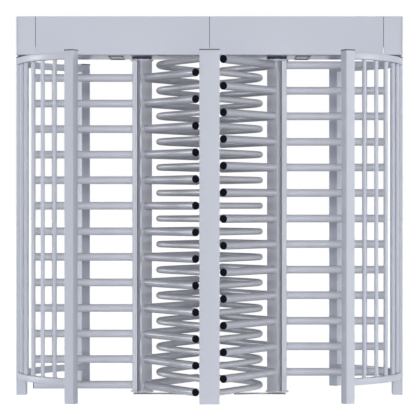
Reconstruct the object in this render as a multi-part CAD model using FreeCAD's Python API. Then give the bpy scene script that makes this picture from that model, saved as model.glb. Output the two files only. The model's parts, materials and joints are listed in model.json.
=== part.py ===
import FreeCAD, Part
import math
import os

os.makedirs("parts", exist_ok=True)

V = FreeCAD.Vector

# Two full height rotors stand side by side under one header. Millimetres, +Z up, floor at Z 0,
# X across the two lanes with the right rotor at +X, front at -Y. The origin is on the floor in the middle.

# Rotors
rotor_reach = 681.0
column_gap = 104.0
arms_per_wing = 13
first_arm_height = 60.0
top_arm_drop = 50.0
arm_diameter = 48.3
plug_length = 5.0
wing_step = 120.0

# Rotor column: three upright bars between two hub plates
upright_width = 73.0
upright_depth = 32.0
upright_reach = 60.0
hub_radius = 72.0
hub_thickness = 8.0
hub_boss_radius = 28.5
hub_boss_height = 5.0
hub_running_gap = 1.0
bottom_hub_height = 15.0

# Shaft and bearings
shaft_radius = 20.0
column_shaft_gap = 0.5
running_clearance = 0.05
bearing_radius = 34.0
bearing_width = 14.0
bearing_ring_wall = 4.0
bearing_shield_sink = 1.0
flange_radius = 62.0
flange_thickness = 10.0
housing_radius = 44.0
housing_height = 24.0
flange_screw_circle = 53.0
flange_screw_radius = 4.0
flange_screw_head_radius = 6.5
flange_screw_head_height = 2.5

# Floor pivot
pivot_radius = 12.0
pivot_flange_radius = 32.0
pivot_gap = 0.3
pivot_end_gap = 2.0
hub_sleeve_height = 46.0
floor_plate_inner_x = 152.0
floor_plate_outer_x = 476.0
floor_plate_depth = 90.0
floor_plate_thickness = 6.0
anchor_radius = 6.0
anchor_head_radius = 10.0
anchor_inset = 20.0

# Comb hoops: bent round bars between the front and the rear centre post
hoop_diameter = 38.1
hoop_column_gap = 47.5
hoop_clearance = 6.0
hoop_entry = 37.0

# Posts
center_post_width = 120.0
center_post_wall = 4.0
center_post_inset = 1.0
flat_cap_thickness = 4.0
end_post_width = 60.0
end_post_wall = 3.0
end_post_outset = 33.5
end_post_angle = 59.4
end_cap_overhang = 2.0
end_cap_thickness = 7.0
side_post_width = 60.0
side_post_depth = 120.0
side_post_wall = 4.0
side_post_inset = 4.0
post_corner_radius = 4.0
tie_width = 60.0
tie_thickness = 18.0

# Floor spigots inside the posts
spigot_gap = 0.5
spigot_plate = 8.0
spigot_height = 60.0
spigot_wall = 5.0
spigot_hole_radius = 7.0
center_anchor_spacing = 56.0
side_anchor_spacing = 60.0

# Outer cages
cage_gap = 55.5
band_depth = 40.0
band_height = 40.0
bottom_band_base = 105.0
top_band_drop = 52.0
bar_diameter = 25.4
bar_inset = 1.5
bars_per_quarter = 5
bar_step = 8.68
first_bar_steps = 1.5

# Header
header_base = 2110.0
header_height = 238.0
side_post_proud = 12.0
header_depth = 450.0
header_corner_radius = 20.0
header_top_radius = 4.0
tray_thickness = 6.0
tray_lip_height = 9.0
tray_lip_wall = 3.0
sheet = 2.0
end_cover_length = 121.0
seam_gap = 2.0
rail_width = 20.0
rail_height = 40.0
rail_wall = 2.5
strap_width = 50.0
strap_thickness = 2.0
cover_screw_radius = 3.0
cover_screw_length = 16.0
cover_screw_head_radius = 5.5
cover_screw_head_height = 3.0
cover_screw_drop = 20.0
cover_screw_pitch = 420.0

# Service hatch in the underside, one over each lane
hatch_offset = 160.5
hatch_width = 92.0
hatch_front_margin = 100.0
hatch_back_margin = 25.0
hatch_frame = 9.0
hatch_frame_drop = 2.0
hatch_lid_sink = 3.0
hatch_lid_thickness = 2.0

# Head mechanism
deck_width = 240.0
deck_margin = 25.0
deck_thickness = 10.0
deck_height = 60.0
leg_radius = 9.0
leg_inset = 20.0
lock_disc_radius = 100.0
lock_disc_thickness = 12.0
lock_disc_lift = 8.0
lock_notches = 12
notch_width = 20.0
notch_depth = 14.0
disc_boss_radius = 32.0
disc_boss_height = 12.0
lightening_holes = 6
lightening_radius = 13.0
lightening_circle = 62.0
shaft_end = 8.0

# Pawls and their solenoids
pawl_pivot_x = 55.0
pawl_pivot_y = 124.0
pawl_nose_x = -4.5
pawl_nose_width = 10.0
pawl_nose_gap = 2.0
pawl_width = 20.0
pawl_tail = 40.0
pawl_play = 0.3
pawl_pin_radius = 6.0
pawl_pin_head = 4.0
pawl_pin_head_radius = 9.0
link_pin_radius = 3.0
link_slot_play = 1.0
fork_width = 16.0
fork_plate = 4.0
fork_gap = 1.0
fork_reach = 12.0
fork_web = 5.0
plunger_radius = 6.0
plunger_length = 50.0
plunger_stroke = 10.0
solenoid_width = 36.0
solenoid_length = 46.0
solenoid_height = 28.0
solenoid_gap = 12.0

# Electrical boxes on the tray
controller_width = 240.0
controller_depth = 180.0
controller_height = 80.0
supply_width = 180.0
supply_depth = 110.0
supply_height = 60.0
supply_offset = 337.5
box_edge = 4.0

# Sizes that follow from the ones above
rotor_spacing = rotor_reach + column_gap + upright_reach
rotor_x = rotor_spacing / 2
hoop_tip = rotor_x - upright_reach - hoop_column_gap
center_post_y = rotor_reach - center_post_inset
center_face_y = center_post_y - center_post_width / 2
band_radius = rotor_reach + cage_gap + band_depth / 2
bar_radius = band_radius - bar_inset
end_post_radius = band_radius + end_post_outset
side_post_x = rotor_x + band_radius - side_post_inset
header_length = 2 * side_post_x + side_post_width - 2 * side_post_proud
header_top = header_base + header_height
arm_pitch = (header_base - top_arm_drop - first_arm_height) / (arms_per_wing - 0.5)
top_band_base = header_base - top_band_drop
hatch_x = rotor_x + hatch_offset
hatch_front = hatch_front_margin - header_depth / 2
hatch_back = header_depth / 2 - hatch_back_margin
deck_depth = header_depth - 2 * deck_margin
arm_radius = arm_diameter / 2
upright_base = bottom_hub_height + hub_thickness
hub_sleeve_top = bottom_hub_height + hub_sleeve_height
column_shaft_radius = upright_reach - upright_depth - column_shaft_gap
top_hub_base = header_base - flange_thickness - hub_running_gap - hub_boss_height - hub_thickness
tray_top = header_base + tray_thickness
cover_base = header_base + tray_lip_height
deck_base = tray_top + deck_height
deck_top = deck_base + deck_thickness
disc_base = deck_top + lock_disc_lift
disc_top = disc_base + lock_disc_thickness

parts = {}


def box(x0, x1, y0, y1, z0, z1):
    """A box between two corners, whichever order each pair comes in."""
    low = V(min(x0, x1), min(y0, y1), min(z0, z1))
    return Part.makeBox(abs(x1 - x0), abs(y1 - y0), abs(z1 - z0), low)


def cylinder(radius, z0, z1, x=0.0, y=0.0):
    return Part.makeCylinder(radius, z1 - z0, V(x, y, z0))


def rod(radius, start, end):
    """A round bar from one point to another."""
    run = end - start
    return Part.makeCylinder(radius, run.Length, start, run)


def fuse(shapes):
    """Joins shapes into one piece and removes the seams between them."""
    joined = shapes[0].fuse(shapes[1:]) if len(shapes) > 1 else shapes[0]
    return joined.removeSplitter()


def turned(shape, degrees):
    copy = shape.copy()
    copy.rotate(V(0, 0, 0), V(0, 0, 1), degrees)
    return copy


def moved(shape, x=0.0, y=0.0, z=0.0):
    copy = shape.copy()
    copy.translate(V(x, y, z))
    return copy


def mirrored(shape):
    """The same piece on the other side of the middle plane."""
    return shape.mirror(V(0, 0, 0), V(1, 0, 0))


def upright_edges(shape, inside):
    """Edges that run straight up and whose middle passes the test."""
    chosen = []
    for edge in shape.Edges:
        low, high = edge.Vertexes[0].Point, edge.Vertexes[-1].Point
        straight = abs(low.x - high.x) < 1e-6 and abs(low.y - high.y) < 1e-6
        if straight and abs(low.z - high.z) > 1e-6 and inside(low):
            chosen.append(edge)
    return chosen


def keep(name, *shapes):
    """Stores a sub-part: one solid, or a group of separate solids."""
    solids = []
    for shape in shapes:
        solids.extend(shape.Solids)
    parts[name] = solids[0] if len(solids) == 1 else Part.makeCompound(solids)


def square_tube(width, depth, wall, z0, z1, corner):
    """A standing hollow section with rounded corners, centred on the Z axis."""
    outer = box(-width / 2, width / 2, -depth / 2, depth / 2, z0, z1)
    outer = outer.makeFillet(corner, upright_edges(outer, lambda p: True))
    bore = box(wall - width / 2, width / 2 - wall, wall - depth / 2, depth / 2 - wall, z0, z1)
    return outer.cut(bore)


def spigot(width, depth, wall, holes):
    """A floor spigot that fills the foot of a post: a short square tube closed by its anchor plate."""
    half_x = width / 2 - wall - spigot_gap
    half_y = depth / 2 - wall - spigot_gap
    block = box(-half_x, half_x, -half_y, half_y, 0, spigot_height)
    inner_x = half_x - spigot_wall
    inner_y = half_y - spigot_wall
    block = block.cut(box(-inner_x, inner_x, -inner_y, inner_y, spigot_plate, spigot_height))
    for x, y in holes:
        block = block.cut(cylinder(spigot_hole_radius, 0, spigot_plate, x, y))
    return block


def capped_tube(width, depth, wall, cap_thickness, cap_overhang):
    """A post up to the header's height with the flat cap that closes it."""
    tube_top = header_base - cap_thickness
    tube = square_tube(width, depth, wall, 0, tube_top, post_corner_radius)
    half_x = width / 2 + cap_overhang
    half_y = depth / 2 + cap_overhang
    cap = box(-half_x, half_x, -half_y, half_y, tube_top, header_base)
    cap = cap.makeFillet(post_corner_radius, upright_edges(cap, lambda p: True))
    return tube, cap


def center_posts():
    """The two middle posts and the flat tie between their heads. Returns their caps."""
    tube, cap = capped_tube(center_post_width, center_post_width, center_post_wall, flat_cap_thickness, 0)
    keep("front_center_post", moved(tube, y=-center_post_y))
    keep("rear_center_post", moved(tube, y=center_post_y))
    half = tie_width / 2
    tie_base = header_base - tie_thickness
    keep("center_top_tie", box(-half, half, -center_face_y, center_face_y, tie_base, header_base))
    return [moved(cap, y=-center_post_y), moved(cap, y=center_post_y)]


def end_post_place(side, way):
    """Centre of an end post and its turn, for side -1 or 1 in X and way -1 or 1 in Y."""
    angle = math.radians(end_post_angle)
    x = side * (rotor_x + end_post_radius * math.cos(angle))
    y = way * end_post_radius * math.sin(angle)
    return x, y, side * way * end_post_angle


def end_posts():
    """The posts that end each cage at a lane's mouth. Returns their caps."""
    width = end_post_width
    tube, cap = capped_tube(width, width, end_post_wall, end_cap_thickness, end_cap_overhang)
    caps = []
    for side, name in ((-1, "left"), (1, "right")):
        tubes = []
        for way in (-1, 1):
            x, y, turn = end_post_place(side, way)
            tubes.append(moved(turned(tube, turn), x, y))
            caps.append(moved(turned(cap, turn), x, y))
        keep(f"{name}_end_posts", *tubes)
    return caps


def side_posts():
    """The posts under the header's ends. Returns their caps."""
    tube, cap = capped_tube(side_post_width, side_post_depth, side_post_wall, flat_cap_thickness, 0)
    keep("right_side_post", moved(tube, side_post_x))
    keep("left_side_post", moved(tube, -side_post_x))
    return [moved(cap, side_post_x), moved(cap, -side_post_x)]


def floor_spigots():
    """One spigot in the foot of every post."""
    half = center_anchor_spacing / 2
    corners = [(-half, -half), (-half, half), (half, -half), (half, half)]
    center = spigot(center_post_width, center_post_width, center_post_wall, corners)
    line = [(0, -side_anchor_spacing / 2), (0, side_anchor_spacing / 2)]
    side = spigot(side_post_width, side_post_depth, side_post_wall, line)
    single = spigot(end_post_width, end_post_width, end_post_wall, [(0, 0)])
    feet = []
    for sign in (-1, 1):
        feet.append(moved(center, y=sign * center_post_y))
        feet.append(moved(side, sign * side_post_x))
        for way in (-1, 1):
            x, y, turn = end_post_place(sign, way)
            feet.append(moved(turned(single, turn), x, y))
    keep("post_spigots", *feet)


def band_quarter(base):
    """The rolled bar from the right side post to the right rear end post, cut square on both posts."""
    inner = band_radius - band_depth / 2
    outline = Part.makePolygon([
        V(inner, 0, base), V(inner + band_depth, 0, base), V(inner + band_depth, 0, base + band_height),
        V(inner, 0, base + band_height), V(inner, 0, base)])
    ring = Part.Face(outline).revolve(V(0, 0, 0), V(0, 0, 1), end_post_angle)
    ring.translate(V(rotor_x, 0, 0))
    half_x = side_post_width / 2
    half_y = side_post_depth / 2
    ring = ring.cut(box(0, side_post_x + half_x, -half_y, half_y, base - 1, base + band_height + 1))
    x, y, turn = end_post_place(1, 1)
    reach = end_post_radius
    beyond = box(-reach, reach, -end_post_width / 2, reach, base - 1, base + band_height + 1)
    return ring.cut(moved(turned(beyond, turn), x, y))


def cages():
    bars = []
    for k in range(bars_per_quarter):
        angle = math.radians((first_bar_steps + k) * bar_step)
        x = rotor_x + bar_radius * math.cos(angle)
        y = bar_radius * math.sin(angle)
        for way in (-1, 1):
            bars.append(cylinder(bar_diameter / 2, bottom_band_base + band_height, top_band_base, x, way * y))
    keep("right_cage_bars", *bars)
    keep("left_cage_bars", *[mirrored(bar) for bar in bars])
    quarters = []
    for base in (bottom_band_base, top_band_base):
        rear = band_quarter(base)
        quarters.append(rear)
        quarters.append(rear.mirror(V(0, 0, 0), V(0, 1, 0)))
    keep("right_cage_bands", *quarters)
    keep("left_cage_bands", *[mirrored(band) for band in quarters])


def hoop():
    """One left hoop at height 0. Its legs lean so that they pass just outside the sweep of the far rotor."""
    reach = rotor_reach + hoop_clearance + hoop_diameter / 2
    across = rotor_x + hoop_entry
    lean = math.atan2(center_face_y, across) - math.acos(reach / math.hypot(center_face_y, across))
    corner_x = hoop_entry + center_face_y * math.tan(lean)
    bend = (corner_x - hoop_tip) / (1 / math.cos(lean) - 1)
    tangent_x = bend * (1 - math.cos(lean)) - hoop_tip
    tangent_y = bend * math.sin(lean)
    spare = hoop_diameter
    end_x = spare * math.sin(lean) - hoop_entry
    end_y = center_face_y + spare * math.cos(lean)
    start, bend_start = V(end_x, -end_y, 0), V(tangent_x, -tangent_y, 0)
    bend_end, end = V(tangent_x, tangent_y, 0), V(end_x, end_y, 0)
    path = Part.Wire([
        Part.LineSegment(start, bend_start).toShape(),
        Part.Arc(bend_start, V(-hoop_tip, 0, 0), bend_end).toShape(),
        Part.LineSegment(bend_end, end).toShape()])
    section = Part.Wire(Part.makeCircle(hoop_diameter / 2, start, bend_start - start))
    pipe = path.makePipeShell([section], True, True)
    room = box(-rotor_spacing, rotor_spacing, -center_face_y, center_face_y, -hoop_diameter, hoop_diameter)
    return pipe.common(room)


def comb_hoops():
    left = hoop()
    right = mirrored(left)
    low = [first_arm_height + k * arm_pitch for k in range(arms_per_wing)]
    keep("left_comb_hoops", *[moved(left, z=height + arm_pitch / 2) for height in low])
    keep("right_comb_hoops", *[moved(right, z=height) for height in low])


def rotor(side, name, first_height):
    """One rotor, built about the Z axis with a wing along +X, then turned and moved to its axis."""
    def place(shape):
        return moved(turned(shape, 0 if side > 0 else 180), side * rotor_x)

    upright = box(upright_reach - upright_depth, upright_reach, -upright_width / 2, upright_width / 2,
                  upright_base, top_hub_base)
    keep(f"{name}_rotor_uprights", *[place(turned(upright, k * wing_step)) for k in range(3)])

    wings = ("outer", "rear", "front") if side > 0 else ("outer", "front", "rear")
    plug_start = rotor_reach - plug_length
    plugs = []
    for k, wing in enumerate(wings):
        arms = []
        for row in range(arms_per_wing):
            height = first_height + row * arm_pitch
            arm = rod(arm_radius, V(upright_reach, 0, height), V(plug_start, 0, height))
            plug = rod(arm_radius, V(plug_start, 0, height), V(rotor_reach, 0, height))
            arms.append(place(turned(arm, k * wing_step)))
            plugs.append(place(turned(plug, k * wing_step)))
        keep(f"{name}_{wing}_wing_arms", *arms)
    keep(f"{name}_arm_plugs", *plugs)

    bottom = fuse([cylinder(hub_radius, bottom_hub_height, upright_base),
                   cylinder(column_shaft_radius, bottom_hub_height, hub_sleeve_top)])
    bore = cylinder(pivot_radius + running_clearance, bottom_hub_height, hub_sleeve_top)
    keep(f"{name}_bottom_hub", place(bottom.cut(bore)))
    hub_top = top_hub_base + hub_thickness
    top = fuse([cylinder(hub_radius, top_hub_base, hub_top),
                cylinder(hub_boss_radius, top_hub_base, hub_top + hub_boss_height)])
    keep(f"{name}_top_hub", place(top.cut(cylinder(shaft_radius, top_hub_base, hub_top + hub_boss_height))))
    shaft_top = disc_top + disc_boss_height + shaft_end
    shaft = fuse([cylinder(column_shaft_radius, hub_sleeve_top, top_hub_base),
                  cylinder(shaft_radius, hub_sleeve_top, shaft_top)])
    keep(f"{name}_shaft", place(shaft))
    keep(f"{name}_lock_disc", place(lock_disc()))


def ring(outer, inner, z0, z1):
    return cylinder(outer, z0, z1).cut(cylinder(inner, z0, z1))


def lock_disc():
    """The disc that the pawls stop: a notch every 30 degrees, a boss and a ring of lightening holes."""
    boss_top = disc_top + disc_boss_height
    disc = fuse([cylinder(lock_disc_radius, disc_base, disc_top),
                 cylinder(disc_boss_radius, disc_base, boss_top)])
    notch = box(lock_disc_radius - notch_depth, lock_disc_radius + 1, -notch_width / 2, notch_width / 2,
                disc_base, disc_top)
    cuts = [turned(notch, k * 360 / lock_notches) for k in range(lock_notches)]
    hole = cylinder(lightening_radius, disc_base, disc_top, lightening_circle)
    cuts.extend(turned(hole, (k + 0.5) * 360 / lightening_holes) for k in range(lightening_holes))
    cuts.append(cylinder(shaft_radius, disc_base, boss_top))
    return disc.cut(Part.makeCompound(cuts))


def bearing(z0):
    """A shielded ball bearing: two rings with a sunk shield between them."""
    body = ring(bearing_radius, shaft_radius + running_clearance, z0, z0 + bearing_width)
    outer = bearing_radius - bearing_ring_wall
    inner = shaft_radius + running_clearance + bearing_ring_wall
    body = body.cut(ring(outer, inner, z0, z0 + bearing_shield_sink))
    return body.cut(ring(outer, inner, z0 + bearing_width - bearing_shield_sink, z0 + bearing_width))


def bearing_housing():
    """The flanged housing under the tray. Its neck passes up through the tray and holds the lower bearing."""
    flange_base = header_base - flange_thickness
    neck_top = tray_top + housing_height
    body = fuse([cylinder(flange_radius, flange_base, header_base),
                 cylinder(housing_radius, flange_base, neck_top)])
    body = body.cut(cylinder(bearing_radius, neck_top - bearing_width, neck_top))
    body = body.cut(cylinder(shaft_radius + 2.0, flange_base, neck_top))
    for x, y in flange_screw_places():
        body = body.cut(cylinder(flange_screw_radius, flange_base, header_base, x, y))
    return body


def flange_screw_places():
    places = []
    for k in range(4):
        angle = math.radians(45 + 90 * k)
        places.append((flange_screw_circle * math.cos(angle), flange_screw_circle * math.sin(angle)))
    return places


def flange_screw(x, y):
    """A low headed screw from below through the flange and the tray."""
    flange_base = header_base - flange_thickness
    head_base = flange_base - flange_screw_head_height
    head = cylinder(flange_screw_head_radius, head_base, flange_base, x, y)
    return fuse([head, cylinder(flange_screw_radius, head_base, tray_top, x, y)])


def deck():
    """The raised plate, on four legs, that holds the upper bearing, the pawls and the solenoids."""
    half_x = deck_width / 2
    half_y = deck_depth / 2
    plate = box(-half_x, half_x, -half_y, half_y, deck_base, deck_top)
    legs = [cylinder(leg_radius, tray_top, deck_base, sx * (half_x - leg_inset), sy * (half_y - leg_inset))
            for sx in (-1, 1) for sy in (-1, 1)]
    plate = fuse([plate] + legs)
    plate = plate.cut(cylinder(bearing_radius, deck_base, deck_top))
    for way in (-1, 1):
        plate = plate.cut(cylinder(pawl_pin_radius, deck_base, deck_top, pawl_pivot_x, way * pawl_pivot_y))
    return plate


def pawl():
    """The rear pawl, or mirrored the front one: a lever with a nose at the disc and a slotted tail."""
    nose_y = lock_disc_radius + pawl_nose_gap
    half = pawl_width / 2
    tail_x = pawl_pivot_x + pawl_tail
    bar = box(pawl_nose_x - pawl_nose_width / 2, tail_x + half, pawl_pivot_y - half, pawl_pivot_y + half,
              disc_base, disc_top)
    ends = upright_edges(bar, lambda p: p.x > pawl_pivot_x)
    bar = bar.makeFillet(half - 1.0, ends)
    nose = box(pawl_nose_x - pawl_nose_width / 2, pawl_nose_x + pawl_nose_width / 2, nose_y, pawl_pivot_y,
               disc_base, disc_top)
    lever = fuse([bar, nose])
    bore = pawl_pin_radius + running_clearance
    lever = lever.cut(cylinder(bore, disc_base, disc_top, pawl_pivot_x, pawl_pivot_y))
    slot_radius = link_pin_radius + link_slot_play / 2
    slot = box(tail_x - link_slot_play, tail_x + link_slot_play, pawl_pivot_y - slot_radius,
               pawl_pivot_y + slot_radius, disc_base, disc_top)
    for x in (tail_x - link_slot_play, tail_x + link_slot_play):
        slot = slot.fuse(cylinder(slot_radius, disc_base, disc_top, x, pawl_pivot_y))
    return lever.cut(slot)


def pawl_pin():
    """The fixed pin that a pawl swings on, with a washer head that keeps the pawl down."""
    top = disc_top + pawl_play
    pin = cylinder(pawl_pin_radius, deck_base, top, pawl_pivot_x, pawl_pivot_y)
    seat = cylinder(pawl_pin_head_radius, deck_top, disc_base - pawl_play, pawl_pivot_x, pawl_pivot_y)
    head = cylinder(pawl_pin_head_radius, top, top + pawl_pin_head, pawl_pivot_x, pawl_pivot_y)
    return fuse([pin, seat, head])


def plunger():
    """The solenoid's plunger: a round core, and a fork whose pin works in the slot of the pawl's tail."""
    x = pawl_pivot_x + pawl_tail
    middle = (disc_base + disc_top) / 2
    plate_low = disc_base - fork_gap
    plate_high = disc_top + fork_gap
    web_y = pawl_pivot_y + fork_reach
    half = fork_width / 2
    start = pawl_pivot_y - half
    end = web_y + fork_web
    lower = box(x - half, x + half, start, end, plate_low - fork_plate, plate_low)
    upper = box(x - half, x + half, start, end, plate_high, plate_high + fork_plate)
    web = box(x - half, x + half, web_y, end, plate_low - fork_plate, plate_high + fork_plate)
    pin = cylinder(link_pin_radius, plate_low - fork_plate, plate_high + fork_plate, x, pawl_pivot_y)
    core = rod(plunger_radius, V(x, web_y, middle), V(x, web_y + plunger_length, middle))
    return fuse([lower, upper, web, pin, core])


def solenoid():
    x = pawl_pivot_x + pawl_tail
    middle = (disc_base + disc_top) / 2
    start = pawl_pivot_y + fork_reach + fork_web + solenoid_gap
    end = start + solenoid_length
    half = solenoid_width / 2
    body = box(x - half, x + half, start, end, deck_top, deck_top + solenoid_height)
    bore_end = pawl_pivot_y + fork_reach + plunger_length + plunger_stroke + 1.0
    return body.cut(rod(plunger_radius + running_clearance, V(x, start, middle), V(x, bore_end, middle)))


def flipped(shape):
    """The same piece on the other side of the rotor axis, front for rear."""
    return shape.mirror(V(0, 0, 0), V(0, 1, 0))


def head_mechanisms():
    """The fixed pieces over both rotors, and a pawl with its plunger at the front and rear of each."""
    names = ("bearing_housings", "flange_screws", "bearings", "bearing_decks", "pawl_pins", "solenoids")
    fixed = {name: [] for name in names}
    lower_bearing = tray_top + housing_height - bearing_width
    upper_bearing = deck_base - (bearing_width - deck_thickness) / 2
    for side, name in ((-1, "left"), (1, "right")):
        def place(shape):
            right = moved(shape, rotor_x)
            return right if side > 0 else mirrored(right)

        fixed["bearing_housings"].append(place(bearing_housing()))
        fixed["flange_screws"].extend(place(flange_screw(x, y)) for x, y in flange_screw_places())
        fixed["bearings"].extend((place(bearing(lower_bearing)), place(bearing(upper_bearing))))
        fixed["bearing_decks"].append(place(deck()))
        fixed["pawl_pins"].extend((place(pawl_pin()), place(flipped(pawl_pin()))))
        fixed["solenoids"].extend((place(solenoid()), place(flipped(solenoid()))))
        keep(f"{name}_rear_pawl", place(pawl()))
        keep(f"{name}_front_pawl", place(flipped(pawl())))
        keep(f"{name}_rear_plunger", place(plunger()))
        keep(f"{name}_front_plunger", place(flipped(plunger())))
    for name, shapes in fixed.items():
        keep(name, *shapes)


def floor_pivots():
    """Under each rotor a floor plate with four flush screws, and the pin that the rotor turns on."""
    top = floor_plate_thickness
    edge = floor_plate_depth / 2
    plate = box(floor_plate_inner_x, floor_plate_outer_x, -edge, edge, 0, top)
    flange = cylinder(pivot_flange_radius, top, bottom_hub_height - pivot_gap, rotor_x)
    pin = fuse([flange, cylinder(pivot_radius, top, hub_sleeve_top - pivot_end_gap, rotor_x)])
    half = edge - anchor_inset
    screws = []
    for x in (floor_plate_inner_x + anchor_inset, rotor_x - hub_radius - anchor_inset):
        for y in (-half, half):
            screws.append(Part.makeCone(anchor_radius, anchor_head_radius, top, V(x, y, 0)))
    plate = plate.cut(Part.makeCompound(screws))
    keep("floor_plates", plate, mirrored(plate))
    keep("floor_pivots", pin, mirrored(pin))
    keep("floor_screws", *screws, *[mirrored(screw) for screw in screws])


def header_block(inset, z0, z1, length):
    """A block with the header's plan shape, its four upright corners rounded."""
    half_x = length / 2 - inset
    half_y = header_depth / 2 - inset
    block = box(-half_x, half_x, -half_y, half_y, z0, z1)
    return block.makeFillet(header_corner_radius - inset, upright_edges(block, lambda p: True))


def header_tray():
    """The bottom tray of the header: a plate with a low lip all round, holed for what passes through it."""
    tray = header_block(0, header_base, cover_base, header_length)
    tray = tray.cut(header_block(tray_lip_wall, tray_top, cover_base, header_length))
    for side in (-1, 1):
        tray = tray.cut(cylinder(housing_radius, header_base, tray_top, side * rotor_x))
        for x, y in flange_screw_places():
            tray = tray.cut(cylinder(flange_screw_radius, header_base, tray_top, side * rotor_x + x, y))
        x0, x1 = side * (hatch_x - hatch_width / 2), side * (hatch_x + hatch_width / 2)
        tray = tray.cut(box(x0, x1, hatch_front, hatch_back, header_base, tray_top))
    keep("header_tray", tray)


def header_covers():
    """The sheet hood over the tray: two long covers and two end covers. Returns their screws."""
    hood = header_block(0, cover_base, header_top, header_length)
    rim = [edge for edge in hood.Edges if abs(edge.BoundBox.ZMin - header_top) < 1e-6]
    hood = hood.makeFillet(header_top_radius, rim)
    hood = hood.cut(header_block(sheet, cover_base, header_top - sheet, header_length))
    half_y = header_depth / 2 + 1
    seam = header_length / 2 - end_cover_length
    gap = seam_gap / 2
    reach = header_length / 2 + 1
    covers = []
    ends = []
    screws = []
    for side in (-1, 1):
        cover = hood.common(box(side * gap, side * (seam - gap), -half_y, half_y, cover_base, header_top))
        end = hood.common(box(side * (seam + gap), side * reach, -half_y, half_y, cover_base, header_top))
        for k in range(3):
            screws.append(cover_screw(side * (seam / 2 + (k - 1) * cover_screw_pitch)))
            cover = cover.cut(screws[-1])
        screws.append(cover_screw(side * (seam + end_cover_length / 2)))
        ends.append(end.cut(screws[-1]))
        covers.append(cover)
    keep("header_covers", *covers)
    keep("end_covers", *ends)
    keep("cover_screws", *screws)
    return screws


def cover_screw(x):
    """A screw through the rear wall of a cover into the rear rail."""
    face = header_depth / 2
    z = cover_base + cover_screw_drop
    shank = rod(cover_screw_radius, V(x, face - cover_screw_length, z), V(x, face, z))
    return fuse([shank, rod(cover_screw_head_radius, V(x, face, z), V(x, face + cover_screw_head_height, z))])


def header_rails(screws):
    """Two hollow rails along the tray, and the straps that back the three seams of the hood."""
    outer = header_depth / 2 - tray_lip_wall
    half_x = header_length / 2 - header_corner_radius
    rails = []
    for way in (-1, 1):
        y0, y1 = way * (outer - rail_width), way * outer
        rail = box(-half_x, half_x, y0, y1, tray_top, tray_top + rail_height)
        bore = box(-half_x, half_x, y0 + way * rail_wall, y1 - way * rail_wall,
                   tray_top + rail_wall, tray_top + rail_height - rail_wall)
        rail = rail.cut(bore)
        if way > 0:
            rail = rail.cut(Part.makeCompound(screws))
        rails.append(rail)
    keep("header_rails", *rails)
    seam = header_length / 2 - end_cover_length
    top = header_top - sheet
    side_y = header_depth / 2 - sheet
    straps = []
    low = tray_top + rail_height + 1.0
    for x in (-seam, 0, seam):
        x0, x1 = x - strap_width / 2, x + strap_width / 2
        block = box(x0, x1, -side_y, side_y, low, top)
        inner_y = side_y - strap_thickness
        straps.append(block.cut(box(x0, x1, -inner_y, inner_y, low, top - strap_thickness)))
    keep("seam_straps", *straps)


def hatches():
    """A framed lid in the underside over each lane."""
    frames = []
    lids = []
    for side in (-1, 1):
        x0 = side * (hatch_x - hatch_width / 2)
        x1 = side * (hatch_x + hatch_width / 2)
        frame = box(x0, x1, hatch_front, hatch_back, header_base - hatch_frame_drop, tray_top)
        i0, i1 = x0 + side * hatch_frame, x1 - side * hatch_frame
        j0, j1 = hatch_front + hatch_frame, hatch_back - hatch_frame
        frame = frame.cut(box(i0, i1, j0, j1, header_base - hatch_frame_drop, tray_top))
        frames.append(frame)
        lid_base = header_base - hatch_frame_drop + hatch_lid_sink
        lids.append(box(i0, i1, j0, j1, lid_base, lid_base + hatch_lid_thickness))
    keep("hatch_frames", *frames)
    keep("hatch_lids", *lids)


def electrical_box(name, width, depth, height, x):
    block = box(x - width / 2, x + width / 2, -depth / 2, depth / 2, tray_top, tray_top + height)
    keep(name, block.makeFillet(box_edge, upright_edges(block, lambda p: True)))


keep("post_caps", *center_posts(), *end_posts(), *side_posts())
floor_spigots()
cages()
comb_hoops()
rotor(-1, "left", first_arm_height)
rotor(1, "right", first_arm_height + arm_pitch / 2)
head_mechanisms()
floor_pivots()
header_tray()
header_rails(header_covers())
hatches()
electrical_box("controller_box", controller_width, controller_depth, controller_height, 0)
electrical_box("power_supply", supply_width, supply_depth, supply_height, rotor_x + supply_offset)

for name, shape in parts.items():
    shape.exportStep(f"parts/{name}.step")
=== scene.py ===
import json
import math

import bpy
from mathutils import Matrix, Vector


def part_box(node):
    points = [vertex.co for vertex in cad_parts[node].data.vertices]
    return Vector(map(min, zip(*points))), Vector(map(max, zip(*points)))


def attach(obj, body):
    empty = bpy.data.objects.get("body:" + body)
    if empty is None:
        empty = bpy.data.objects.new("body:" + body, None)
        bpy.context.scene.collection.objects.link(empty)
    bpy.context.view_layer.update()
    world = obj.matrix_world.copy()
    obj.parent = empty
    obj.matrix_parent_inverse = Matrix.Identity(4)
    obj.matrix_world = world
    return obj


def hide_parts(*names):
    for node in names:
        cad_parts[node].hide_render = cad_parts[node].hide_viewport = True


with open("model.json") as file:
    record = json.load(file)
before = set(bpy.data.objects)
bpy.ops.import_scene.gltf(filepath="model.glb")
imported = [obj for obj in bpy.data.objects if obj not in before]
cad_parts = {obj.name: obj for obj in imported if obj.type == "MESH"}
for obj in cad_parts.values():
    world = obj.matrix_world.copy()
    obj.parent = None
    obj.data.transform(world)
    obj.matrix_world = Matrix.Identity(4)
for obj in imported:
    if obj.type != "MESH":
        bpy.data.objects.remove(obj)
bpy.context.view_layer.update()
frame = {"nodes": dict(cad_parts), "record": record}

bl_info = {
    "name": "Full height turnstile",
    "version": (1, 0, 0),
    "blender": (4, 5, 0),
    "location": "View3D > Sidebar > Turnstile",
    "description": "Dresses the full height turnstile and sets its studio",
    "category": "Object",
}

SIDES = (("left", -1), ("right", 1))
# Each wing's turn in degrees from straight outwards, on the right rotor. The left rotor mirrors it.
WINGS = {"outer": 0, "front": -120, "rear": 120}
# The first cage bar's turn from the side post, in steps from bar to bar
FIRST_BAR = 1.5

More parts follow.
